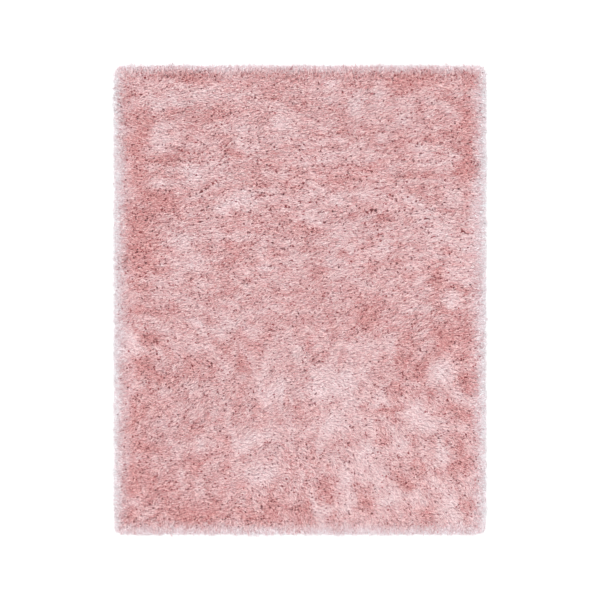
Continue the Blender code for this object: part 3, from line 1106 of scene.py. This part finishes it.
@dataclass(frozen=True)
class Specks:
    """The effect of small deep specks, where one looks down between strands, and of creases between waves.

    Specks lie in long cells, a share of which hold one: fewer where the nap lies flat. The bend shifts them,
    the breaks gather them in clumps, and round a clump the pile is a little deeper, by the halo. Specks,
    creases and halo are all painted shade, which the red powers tint a deeper red.
    """

    bend_scale: float = 90.0
    bend: float = 0.014
    turn: float = math.radians(12)
    length: float = 0.0175
    width: float = 0.0095
    size: float = 0.14
    size_spread: float = 0.42
    softness: float = 0.16
    break_scale: float = 52.0
    clumping: float = 0.7
    rarity: float = 0.50
    flat_rarity: float = 0.42
    rarity_fade: float = 0.12
    halo: float = 0.15
    flat_halo: float = 0.4
    halo_start: float = 0.46
    halo_full: float = 0.72
    least_red_power: float = 0.42
    most_red_power: float = 0.72
    green_power: float = 1.05
    blue_power: float = 1.0
    crease_start: float = 0.47
    crease_full: float = 0.74
    crease_width: float = 0.25
    crease_softness: float = 0.07

    def build(self) -> NodeTree:
        """Return the effect's node group."""
        inputs = {"Color": PLAIN_ROSE, "Lay": 0.5, "Depth": 0.5}
        sheet = EffectSheet("specks", inputs, {"Color": "NodeSocketColor"})
        given = sheet.given
        place = sheet.add("ShaderNodeTexCoord").outputs["Object"]
        bend = sheet.noise(place, self.bend_scale).outputs["Color"]
        moved = {0: bend, 1: (self.bend, self.bend, 0.0), 2: place}
        shift = sheet.add("ShaderNodeVectorMath", moved, operation="MULTIPLY_ADD").outputs[0]
        turned = {"Vector": shift, "Rotation": (0.0, 0.0, self.turn), "Scale": (self.length, self.width, 1.0)}
        spot = sheet.add("ShaderNodeMapping", turned, vector_type="TEXTURE").outputs[0]
        whole = {"Vector": spot, "Scale": 1.0}
        cells = sheet.add("ShaderNodeTexVoronoi", whole, voronoi_dimensions="2D").outputs
        luck = sheet.add("ShaderNodeSeparateColor", {0: cells["Color"]}).outputs
        size = sheet.maths("MULTIPLY_ADD", luck[1], self.size_spread, self.size)
        dot = sheet.ramp(cells["Distance"], start=size, end=sheet.less(size, self.softness))
        breaks = sheet.noise(shift, self.break_scale, noise_dimensions="2D").outputs[0]
        rarity = sheet.maths("MULTIPLY_ADD", given["Lay"], self.flat_rarity, self.rarity)
        rarity = sheet.less(rarity, sheet.product(sheet.less(breaks, 0.5), self.clumping))
        chosen = sheet.ramp(luck[0], start=rarity, end=sheet.maths("ADD", rarity, self.rarity_fade))
        # Painted shade: the dark specks and the creases.
        mask = sheet.maths("MAXIMUM", sheet.product(dot, chosen), self.creases(sheet, breaks))
        # Painted shade: the halo that darkens the pile round a clump, less where it lies flat.
        hollow = sheet.ramp(given["Lay"], 1.0, 0.0, low=self.flat_halo * self.halo, high=self.halo)
        level = sheet.product(
            sheet.less(1.0, sheet.product(mask, given["Depth"])),
            sheet.ramp(breaks, self.halo_start, self.halo_full, low=1.0, high=sheet.less(1.0, hollow)),
        )
        red_power = sheet.ramp(luck[2], 0.0, 1.0, low=self.least_red_power, high=self.most_red_power)
        deep = sheet.deepened(given["Color"], level, (red_power, self.green_power, self.blue_power))
        sheet.feed(deep, sheet.result["Color"])
        return sheet.tree

    def creases(self, sheet: NodeSheet, breaks: NodeSocket) -> NodeSocket:
        """Return the mask of the thin creases between the pile's waves.

        Args:
            sheet: The group that the nodes are added to.
            breaks: The noise that breaks them up.

        Returns:
            The mask, 1 in a crease.
        """
        # Painted shadow lines in the creases between waves.
        phase, strength, _, _ = sheet.attribute("wave")
        broken = sheet.ramp(breaks, self.crease_start, self.crease_full, high=self.crease_width)
        width = sheet.product(strength, broken)
        inner = sheet.less(width, self.crease_softness)
        return sheet.ramp(sheet.maths("FRACT", phase), start=width, end=inner)


@dataclass(frozen=True)
class Fibres:
    """The effect of fine fibres that run along a strand, as a height."""

    around: float = 7.0
    along: float = 1.6

    def build(self) -> NodeTree:
        """Return the effect's node group."""
        inputs = {"Around": self.around, "Along": self.along}
        sheet = EffectSheet("fibres", inputs, {"Height": "NodeSocketFloat"})
        around, along, number, _ = sheet.attribute("yarn")
        spot = sheet.vector(
            sheet.product(around, sheet.given["Around"]),
            sheet.product(along, sheet.given["Along"]),
            sheet.product(number, STRAND_STEP),
        )
        sheet.feed(sheet.noise(spot, detail=2.0).outputs[0], sheet.result["Height"])
        return sheet.tree


class SharedEffects:
    """The node groups that more than one finish of the rug uses."""

    def __init__(self) -> None:
        """Build each group once."""
        self.yarn_colour = YarnColour().build()
        self.specks = Specks().build()
        self.fibres = Fibres().build()


def new_material(name: str, **values: Value) -> tuple[Material, NodeSheet, NodeInputs]:
    """Make a material.

    Args:
        name: Its name.
        **values: Its shader's uniform numbers and colours, named with _ for each space.

    Returns:
        The material, its node sheet and its shader's inputs.
    """
    material = bpy.data.materials.new(name)
    material.use_nodes = True
    shader = material.node_tree.nodes["Principled BSDF"].inputs
    for key, value in values.items():
        shader[key.replace("_", " ")].default_value = value
    return material, NodeSheet(material.node_tree), shader


@dataclass(frozen=True)
class YarnFinish:
    """Silky polyester yarn, painted darker as shade at its root and where parted, and paler as sheen where
    flat.
    """

    name: str
    parted: Colour
    flat: Colour
    root_depth: float = 0.60
    root_length: float = 0.40
    dash_depth: float = 0.50
    shade_speck_depth: float = 0.92
    tone_spread: float = 0.70
    least_roughness: float = 0.50
    most_roughness: float = 0.74
    sheen: float = 0.20
    sheen_roughness: float = 0.45
    sheen_tint: Colour = (1.0, 0.93, 0.96, 1.0)
    gloss: float = 0.45
    fibre_strength: float = 0.6
    fibre_depth: float = 0.0012

    def material(self, effects: SharedEffects) -> Material:
        """Make the yarn's material.

        Args:
            effects: The effects that the finishes share.

        Returns:
            The material.
        """
        material, sheet, shader = new_material(
            self.name,
            Sheen_Weight=self.sheen,
            Sheen_Roughness=self.sheen_roughness,
            Sheen_Tint=self.sheen_tint,
            Specular_IOR_Level=self.gloss,
        )
        yarn = sheet.group(
            effects.yarn_colour,
            Parted=self.parted,
            Flat=self.flat,
            Root_Depth=self.root_depth,
            Root_Length=self.root_length,
            Dash_Depth=self.dash_depth,
            Tone_Spread=self.tone_spread,
        )
        specks = sheet.group(effects.specks, Color=yarn["Color"], Lay=yarn["Lay"], Depth=self.shade_speck_depth)
        sheet.feed(specks["Color"], shader["Base Color"])
        height = sheet.group(effects.fibres)["Height"]
        rough = {"Value": height, "To Min": self.least_roughness, "To Max": self.most_roughness}
        sheet.feed(sheet.add("ShaderNodeMapRange", rough).outputs[0], shader["Roughness"])
        sheet.feed(sheet.bump(height, self.fibre_strength, self.fibre_depth), shader["Normal"])
        return material


# The parted colours are painted darker as shade, and the flat ones paler as a painted sheen.
YARN_FINISH = YarnFinish("short_yarn", parted=(0.635, 0.335, 0.325, 1.0), flat=(0.725, 0.585, 0.595, 1.0))
WISP_FINISH = YarnFinish("silky_wisps", parted=(0.605, 0.315, 0.305, 1.0), flat=(0.695, 0.555, 0.565, 1.0))
RIM_FINISH = YarnFinish(
    "rim_strands",
    parted=(0.57, 0.37, 0.37, 1.0),
    flat=(0.66, 0.57, 0.60, 1.0),
    root_depth=0.50,
    dash_depth=0.55,
    shade_speck_depth=0.50,
    tone_spread=0.50,
)


@dataclass(frozen=True)
class LowerPileFinish:
    """The close lower pile that shows between the strands: rose, paler at the rim, and full of specks."""

    # All three are painted: parted and flat are deepened as the shade under the strands, and rim is paler as
    # a painted sheen.
    parted: Colour = (0.37, 0.17, 0.165, 1.0)
    flat: Colour = (0.52, 0.39, 0.41, 1.0)
    rim: Colour = (0.68, 0.59, 0.62, 1.0)
    tuft_size: float = 0.009
    tuft_strength: float = 0.8
    tuft_depth: float = 0.006
    shade_speck_depth: float = 0.7
    roughness: float = 0.85

    def material(self, effects: SharedEffects) -> Material:
        """Make the lower pile's material.

        Args:
            effects: The effects that the finishes share.

        Returns:
            The material.
        """
        material, sheet, shader = new_material("lower_pile", Roughness=self.roughness)
        lay, _, _, rim_sheen = sheet.attribute("nap")
        place = sheet.add("ShaderNodeTexCoord").outputs["Object"]
        tufts = sheet.add("ShaderNodeTexVoronoi", {"Vector": place, "Scale": 1.0 / self.tuft_size})
        crown = sheet.maths("SUBTRACT", 1.0, tufts.outputs["Distance"], clamp=True)
        # Painted shade and sheen by lay and rim, with painted shade specks over them.
        specks = sheet.group(
            effects.specks,
            Color=sheet.mix(rim_sheen, sheet.mix(lay, self.parted, self.flat), self.rim),
            Lay=sheet.maths("ADD", lay, rim_sheen),
            Depth=self.shade_speck_depth,
        )
        sheet.feed(specks["Color"], shader["Base Color"])
        sheet.feed(sheet.bump(crown, self.tuft_strength, self.tuft_depth), shader["Normal"])
        return material


@dataclass(frozen=True)
class BackingFinish:
    """Plain woven backing cloth, seen only from below."""

    light: Colour = (0.62, 0.55, 0.49, 1.0)
    shade: Colour = (0.42, 0.36, 0.32, 1.0)
    thread: float = 0.0035
    unevenness: float = 0.4
    weave_strength: float = 0.5
    weave_depth: float = 0.0008
    roughness: float = 0.9

    def material(self) -> Material:
        """Return the backing's material, a plain weave of threads."""
        material, sheet, shader = new_material("backing_cloth", Roughness=self.roughness)
        place = sheet.add("ShaderNodeTexCoord").outputs["Object"]
        # A band texture of scale 1 repeats every 0.314 m.
        bands = {"Vector": place, "Scale": 0.314 / self.thread, "Distortion": self.unevenness}
        warp, weft = (
            sheet.add("ShaderNodeTexWave", bands, wave_type="BANDS", bands_direction=direction).outputs["Fac"]
            for direction in ("X", "Y")
        )
        height = sheet.maths("MAXIMUM", warp, weft)
        sheet.feed(sheet.mix(height, self.shade, self.light), shader["Base Color"])
        sheet.feed(sheet.bump(height, self.weave_strength, self.weave_depth), shader["Normal"])
        return material


# ---------------------------------------------------------------- the rug's pieces

@dataclass
class RoundedGrid:
    """An even grid over a rectangle with rounded corners, to make level sheets and closed slabs of."""

    half_x: float
    half_y: float
    corner: float
    cells_x: int
    cells_y: int

    def __post_init__(self) -> None:
        """Set the points' x and y, the quads' corners, and the points round the rim in order."""
        across = np.linspace(-self.half_x, self.half_x, self.cells_x + 1)
        along = np.linspace(-self.half_y, self.half_y, self.cells_y + 1)
        x, y = np.meshgrid(across, along)
        dx = np.maximum(np.abs(x) - (self.half_x - self.corner), 0.0)
        dy = np.maximum(np.abs(y) - (self.half_y - self.corner), 0.0)
        square = np.maximum(dx, dy)
        shrink = np.where(square > 0, square / np.maximum(np.hypot(dx, dy), 1e-9), 1.0)
        x = x - np.sign(x) * dx * (1 - shrink)
        y = y - np.sign(y) * dy * (1 - shrink)
        self.points = np.column_stack([x.ravel(), y.ravel()])
        number = np.arange(x.size).reshape(x.shape)
        quads = np.stack([number[:-1, :-1], number[:-1, 1:], number[1:, 1:], number[1:, :-1]], axis=2)
        self.faces = quads.reshape(-1, 4)
        self.rim = np.concatenate([number[0, :-1], number[:-1, -1], number[-1, :0:-1], number[:0:-1, 0]])

    def raised(self, height: Union[Floats, float]) -> Floats:
        """Return the points at a height."""
        return np.column_stack([self.points, np.broadcast_to(height, len(self.points))])

    def slab(self, name: str, high: Union[Floats, float], low: float) -> Mesh:
        """Return a closed mesh from a top and an underside, joined round their rim.

        Args:
            name: The mesh's name.
            high: The top's height, for all its points or for each.
            low: The underside's height.

        Returns:
            The mesh.
        """
        count = len(self.points)
        after = np.roll(self.rim, -1)
        sides = np.stack([self.rim + count, after + count, after, self.rim], axis=1)
        points = np.concatenate([self.raised(high), self.raised(low)])
        faces = np.concatenate([self.faces, self.faces[:, ::-1] + count, sides])
        return mesh_from_arrays(name, points, faces)


@dataclass
class BackingCloth:
    """The thin woven cloth that the pile is tufted into."""

    sizes: RugSizes
    finish: BackingFinish = BackingFinish()
    cells_across: int = 24
    cells_along: int = 30
    corner: float = 0.05
    underside: float = 0.0004

    def build(self) -> Object:
        """Return the cloth: two level grids joined round their edge, with rounded corners."""
        half_x = self.sizes.width / 2 - self.sizes.backing_inset
        half_y = self.sizes.length / 2 - self.sizes.backing_inset
        grid = RoundedGrid(half_x, half_y, self.corner, self.cells_across, self.cells_along)
        mesh = grid.slab("backing_cloth", high=self.sizes.backing_thickness, low=self.underside)
        log.info("backing_cloth: %d faces", len(mesh.polygons))
        return dress(mesh, self.finish.material())


@dataclass
class LowerPile:
    """The close lower pile, which follows the CAD solid's lumps beneath the strands.

    It is height_share as high as the solid, falls to rim_share of that at its rim over the shoulder, and its
    points are shifted unevenly by up to the three shifts.
    """

    sizes: RugSizes
    nap: NapField
    effects: SharedEffects
    finish: LowerPileFinish = LowerPileFinish()
    cells_across: int = 80
    cells_along: int = 100
    corner: float = 0.05
    underside: float = 0.0006
    height_share: float = 0.52
    rim_share: float = 0.12
    shoulder: float = 0.130
    least_top: float = 0.020
    over_backing: float = 0.001
    inner_inset: float = 0.02
    inner_shift: float = 0.007
    rim_shift: float = 0.005
    height_shift: float = 0.003

    def height(self, x: Floats, y: Floats) -> Floats:
        """Return the lower pile's height, which falls to the backing at its rim.

        Args:
            x: Places across the rug.
            y: Places along the rug.

        Returns:
            The height at each place.
        """
        sizes = self.sizes
        inside = ease((sizes.inset(x, y) - sizes.lower_inset) / self.shoulder)
        rise = self.height_share * np.maximum(self.nap.top(x, y), self.least_top) - sizes.backing_thickness
        rise = rise * (self.rim_share + (1 - self.rim_share) * inside)
        return sizes.backing_thickness + self.over_backing + rise

    def build(self) -> Object:
        """Return the lower pile as a closed slab that stands for the CAD solid."""
        sizes = self.sizes
        half_x = sizes.width / 2 - sizes.lower_inset
        half_y = sizes.length / 2 - sizes.lower_inset
        grid = RoundedGrid(half_x, half_y, self.corner, self.cells_across, self.cells_along)
        points = grid.points
        count = len(points)
        rng = np.random.default_rng(SEED + 20)
        inner = sizes.inset(points[:, 0], points[:, 1]) > sizes.lower_inset + self.inner_inset
        points[inner] += rng.uniform(-self.inner_shift, self.inner_shift, (int(inner.sum()), 2))
        points[grid.rim] += rng.uniform(-self.rim_shift, self.rim_shift, (len(grid.rim), 2))
        x = points[:, 0]
        y = points[:, 1]
        height = self.height(x, y) + rng.uniform(-self.height_shift, self.height_shift, count) * inner
        mesh = grid.slab("lower_pile", high=height, low=self.underside)
        nap = np.full((count * 2, 4), 0.5, np.float32)
        # The lay and rim sheen that paint the lower pile's shade and sheen.
        nap[:count, 0] = 0.5 + 0.5 * self.nap.lay(x, y)
        nap[:, 3] = np.tile(sizes.rim_sheen(x, y), 2)
        store(mesh, "nap", nap)
        piece = dress(mesh, self.finish.material(self.effects))
        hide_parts(RUG_NODE)
        log.info("lower_pile: %d faces", len(mesh.polygons))
        return piece


@dataclass(frozen=True, kw_only=True)
class Strands:
    """One kind of strands: its pieces, its yarn, and where its tufts stand.

    The tufts stand at least least_inset inside the rug's edge, with their roots sunk into the lower pile. How
    the nap lies is read where a strand shows most, which is shown ahead of its root. A pair of numbers is a
    least and a greatest value.
    """

    name: str
    pieces: int
    finish: YarnFinish
    strand: StrandSizes
    spacing: float
    least_inset: float
    root_sink: float
    shown: float
    reach: tuple[float, float]
    turn_spread: float
    least_tip: float
    tone_spread: float = 0.20

    def kept(self, inset: Floats, rng: Random) -> Floats:
        """Return which tufts stand far enough inside the rug's edge."""
        return inset > self.least_inset

    def places(self, sizes: RugSizes, rng: Random) -> tuple[Floats, Floats, Floats]:
        """Return where the tufts stand.

        Args:
            sizes: The rug's sizes.
            rng: The source of their unevenness.

        Returns:
            Their x, their y and how far they lie inside the rug's edge.
        """
        x, y = scatter(self.spacing, sizes, rng)
        inset = sizes.inset(x, y)
        keep = self.kept(inset, rng)
        return x[keep], y[keep], inset[keep]

    def tufts(self, lower: LowerPile, rng: Random) -> Tufts:
        """Return the tufts, which each kind of strands sets in its own way."""
        raise NotImplementedError

    def build(self, lower: LowerPile, rng: Random) -> list[Object]:
        """Make the strands, in one piece for each band across the rug.

        Args:
            lower: The lower pile that they grow on.
            rng: The source of the tufts' unevenness.

        Returns:
            The pieces.
        """
        built = []
        bands = self.tufts(lower, rng).bands(self.pieces)
        material = self.finish.material(lower.effects)
        for number, band in enumerate(bands, start=1):
            own = np.random.default_rng(SEED + 100 * number + len(band))
            mesh = StrandMesh(self.strand, lower.nap, own).build(f"{self.name}_{number}", band)
            built.append(dress(mesh, material))
        return built


@dataclass(frozen=True, kw_only=True)
class LyingStrands(Strands):
    """Strands inside the rim, which lean over one another as the nap does.

    Towards the rim they are lower, down to rim_height of the solid's top, and sunk less, down to sunk_at_rim.
    Where the nap lies flat they reach further by flat_stretch, and where they turn outwards less, by
    loose_share. A share of them, crossed, leans astray.
    """

    rim_height: float
    sunk: tuple[float, float]
    sunk_at_rim: float
    tip_sink: tuple[float, float]
    loose_share: float
    flat_stretch: float = 0.0
    edge_gap: float = 0.0
    least_rise: float = 0.006
    clump_tone: float = 0.0
    crossed: float = 0.0
    crossed_turn: float = 2.2

    def tufts(self, lower: LowerPile, rng: Random) -> Tufts:
        """Return the tufts, leaning by how the nap lies.

        Args:
            lower: The lower pile that they grow on.
            rng: The source of their unevenness.

        Returns:
            The tufts.
        """
        nap = lower.nap
        x, y, inset = self.places(lower.sizes, rng)
        count = len(x)
        inside = ease(inset / lower.sizes.rim_inset)
        lean = nap.lean(x, y, rng.uniform(0.0, 1.0, count))
        lay = nap.lay(*ahead(x, y, lean.heading, self.shown))
        base = lower.height(x, y) - self.root_sink
        sunk = rng.uniform(*self.sunk, count) * np.maximum(inside, self.sunk_at_rim)
        top = nap.top(x, y) * (self.rim_height + (1 - self.rim_height) * inside) - sunk
        reach = rng.uniform(*self.reach, count) * (1 + self.flat_stretch * (0.5 + 0.5 * lay))
        reach = reach * ((1 - self.loose_share) + self.loose_share * lean.firmness)
        reach = np.minimum(reach, inset - self.edge_gap)
        heading = lean.heading + rng.normal(0.0, self.turn_spread, count) * (1 + lean.disorder)
        if self.crossed:
            astray = rng.uniform(0.0, 1.0, count) < self.crossed
            heading = heading + astray * rng.uniform(-self.crossed_turn, self.crossed_turn, count)
        tip = np.minimum(top, nap.top(*ahead(x, y, heading, reach))) - rng.uniform(*self.tip_sink, count)
        tip = np.maximum(tip, self.least_tip)
        top = np.maximum(top, base + self.least_rise)
        tone = rng.normal(0.0, self.tone_spread, count) + self.clump_tone * nap.clumps.at(x, y)
        return Tufts(x, y, base, top, tip, heading, reach, lay, tone)


@dataclass(frozen=True, kw_only=True)
class RimStrands(Strands):
    """Fine strands that fall outwards over the rug's rim and down to the floor.

    They stand in a band inside least_inset, fewer the further in. Their tips end past the rug's edge at most
    by past_edge and the waves of its outline, and mostly short of that, by the shortfall on average.
    """

    band: float = 0.101
    thinning: float = 1.4
    outline_wave: float = 0.006
    past_edge: float = 0.015
    shortfall: float = 0.018
    least_reach: float = 0.010
    top_share: float = 0.85
    least_rise: float = 0.003
    top_lift: tuple[float, float] = (-0.003, 0.004)
    tip_share: float = 0.75
    tip_lift: tuple[float, float] = (0.0, 0.005)

    def kept(self, inset: Floats, rng: Random) -> Floats:
        """Return which tufts stand in the band inside the rug's edge."""
        depth = self.band * rng.uniform(0.0, 1.0, len(inset)) ** self.thinning
        return (inset > self.least_inset) & (inset <= self.least_inset + depth)

    def tufts(self, lower: LowerPile, rng: Random) -> Tufts:
        """Return the tufts, which fall straight outwards, more or less.

        Args:
            lower: The lower pile that they grow on.
            rng: The source of their unevenness.

        Returns:
            The tufts.
        """
        nap = lower.nap
        x, y, inset = self.places(lower.sizes, rng)
        count = len(x)
        out_x, out_y = lower.sizes.outward(x, y)
        wave = self.outline_wave * nap.broad.at(x, y) + self.outline_wave * nap.middling.at(x, y)
        limit = inset + wave + self.past_edge - rng.exponential(self.shortfall, count)
        reach = np.minimum(rng.uniform(*self.reach, count), np.maximum(limit, self.least_reach))
        base = lower.height(x, y) - self.root_sink
        top = np.maximum(nap.top(x, y) * self.top_share, base + self.least_rise)
        top = top + rng.uniform(*self.top_lift, count)
        tip = np.maximum(nap.top(x + reach * out_x, y + reach * out_y) * self.tip_share, self.least_tip)
        tip = tip + rng.uniform(*self.tip_lift, count)
        heading = np.arctan2(out_y, out_x) + rng.normal(0.0, self.turn_spread, count)
        lay = nap.lay(*ahead(x, y, heading, self.shown))
        tone = rng.normal(0.0, self.tone_spread, count)
        return Tufts(x, y, base, top, tip, heading, reach, lay, tone)


SHORT_YARN = LyingStrands(
    name="short_yarn", pieces=4, finish=YARN_FINISH,
    strand=StrandSizes(
        SHORT_SPINDLE, per_tuft=2, width=0.0028, depth=0.0013, root_spread=0.0030, gather=0.40,
    ),
    spacing=0.0095, least_inset=0.040, root_sink=0.004, shown=0.022, reach=(0.026, 0.046),
    turn_spread=math.radians(10), rim_height=0.75, sunk=(0.001, 0.007), sunk_at_rim=0.0,
    tip_sink=(-0.002, 0.006), least_tip=0.003, loose_share=0.3, edge_gap=0.006, clump_tone=0.16,
)
WISPS = LyingStrands(
    name="wisps", pieces=2, finish=WISP_FINISH,
    strand=StrandSizes(
        LONG_SPINDLE, per_tuft=3, width=0.0024, depth=0.0015, root_spread=0.0035, gather=0.40,
        fan=math.radians(4), sway=0.003, curl=0.0015,
    ),
    spacing=0.050, least_inset=0.060, root_sink=0.0, shown=0.034, reach=(0.0225, 0.0375),
    turn_spread=math.radians(6), rim_height=0.80, sunk=(0.0, 0.006), sunk_at_rim=1.0,
    tip_sink=(0.0, 0.008), least_tip=0.004, loose_share=0.4, flat_stretch=1.0, crossed=0.05,
)
RIM_STRANDS = RimStrands(
    name="rim_strands", pieces=1, finish=RIM_FINISH,
    strand=StrandSizes(
        SHORT_SPINDLE, per_tuft=3, width=0.0018, depth=0.0012, root_spread=0.007, gather=0.0,
        fan=math.radians(10), reach_spread=0.10, sway=0.005, pit_depth=0.0, wave_depth=0.0,
    ),
    spacing=0.0090, least_inset=0.024, root_sink=0.003, shown=0.03, reach=(0.028, 0.056),
    turn_spread=math.radians(42), least_tip=0.002,
)


@dataclass
class Pile:
    """All the strands: short yarn, long wisps over it, and a rim that falls outwards."""

    lower: LowerPile
    kinds: tuple[Strands, ...] = (SHORT_YARN, WISPS, RIM_STRANDS)

    def build(self) -> list[Object]:
        """Return every piece of strands."""
        rng = np.random.default_rng(SEED)
        return [piece for kind in self.kinds for piece in kind.build(self.lower, rng)]


# ---------------------------------------------------------------- the studio

@dataclass
class Studio:
    """A plain white floor, soft light and a camera that looks straight down, as in the photograph."""

    floor_side: float = 16.0
    floor_corner: float = 1.0
    floor_cells: int = 16
    floor_height: float = -0.0004
    floor_colour: Colour = (0.62, 0.62, 0.62, 1.0)
    floor_roughness: float = 0.9
    floor_gloss: float = 0.1
    frame_side: float = 3.873
    lens: float = 100.0
    sensor: float = 36.0
    sky: float = 1.48
    key_strength: float = 2.0
    key_softness: float = math.radians(55)
    key_from: Vector = Vector((-0.28, 0.34, 1.0))
    key_distance: float = 5.0

    def build(self) -> None:
        """Make the floor, the light, the sky and the camera."""
        self.make_floor()
        self.make_light()
        self.make_sky()
        self.make_camera()
        bpy.context.scene.view_settings.view_transform = "Standard"

    def make_floor(self) -> None:
        """Make the floor just under the rug."""
        half = self.floor_side / 2
        grid = RoundedGrid(half, half, self.floor_corner, self.floor_cells, self.floor_cells)
        mesh = mesh_from_arrays("studio_floor", grid.raised(self.floor_height), grid.faces)
        material, _, _ = new_material(
            "studio_floor",
            Base_Color=self.floor_colour,
            Roughness=self.floor_roughness,
            Specular_IOR_Level=self.floor_gloss,
        )
        mesh.materials.append(material)
        floor = placed("studio_floor", mesh)

    def make_light(self) -> None:
        """Make the one soft, even light, from the upper left."""
        light = bpy.data.lights.new("key_light", "SUN")
        light.energy = self.key_strength
        light.angle = self.key_softness
        lamp = placed("key_light", light)
        lamp.location = self.key_from * self.key_distance
        lamp.rotation_euler = self.key_from.to_track_quat("Z", "Y").to_euler()

    def make_sky(self) -> None:
        """Give the world an even white light."""
        world = bpy.data.worlds.new("studio_sky")
        world.use_nodes = True
        background = world.node_tree.nodes["Background"]
        background.inputs["Color"].default_value = WHITE
        background.inputs["Strength"].default_value = self.sky
        bpy.context.scene.world = world

    def make_camera(self) -> None:
        """Hang the camera over the rug's middle, so high that the frame covers frame_side of the floor."""
        data = bpy.data.cameras.new("camera")
        data.lens = self.lens
        data.sensor_width = self.sensor
        height = self.frame_side * self.lens / self.sensor
        data.clip_end = height * 10
        bpy.context.scene.camera = placed("camera", data)
        bpy.context.scene.camera.location = (0.0, 0.0, height)


def write_sizes() -> None:
    """Update the view layer."""
    bpy.context.view_layer.update()


def main() -> None:
    """Build the rug's pieces in order, then the studio."""
    logging.basicConfig(level=logging.INFO, format="%(name)s: %(message)s")
    low, high = CAD_BOX
    sizes = RugSizes(width=high.x - low.x, length=high.y - low.y)
    nap = NapField(sizes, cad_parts[RUG_NODE])
    backing = BackingCloth(sizes).build()
    effects = SharedEffects()
    lower = LowerPile(sizes, nap, effects)
    lower_piece = lower.build()
    strands = Pile(lower).build()
    Studio().build()
    write_sizes()


if __name__ == "__main__":
    main()
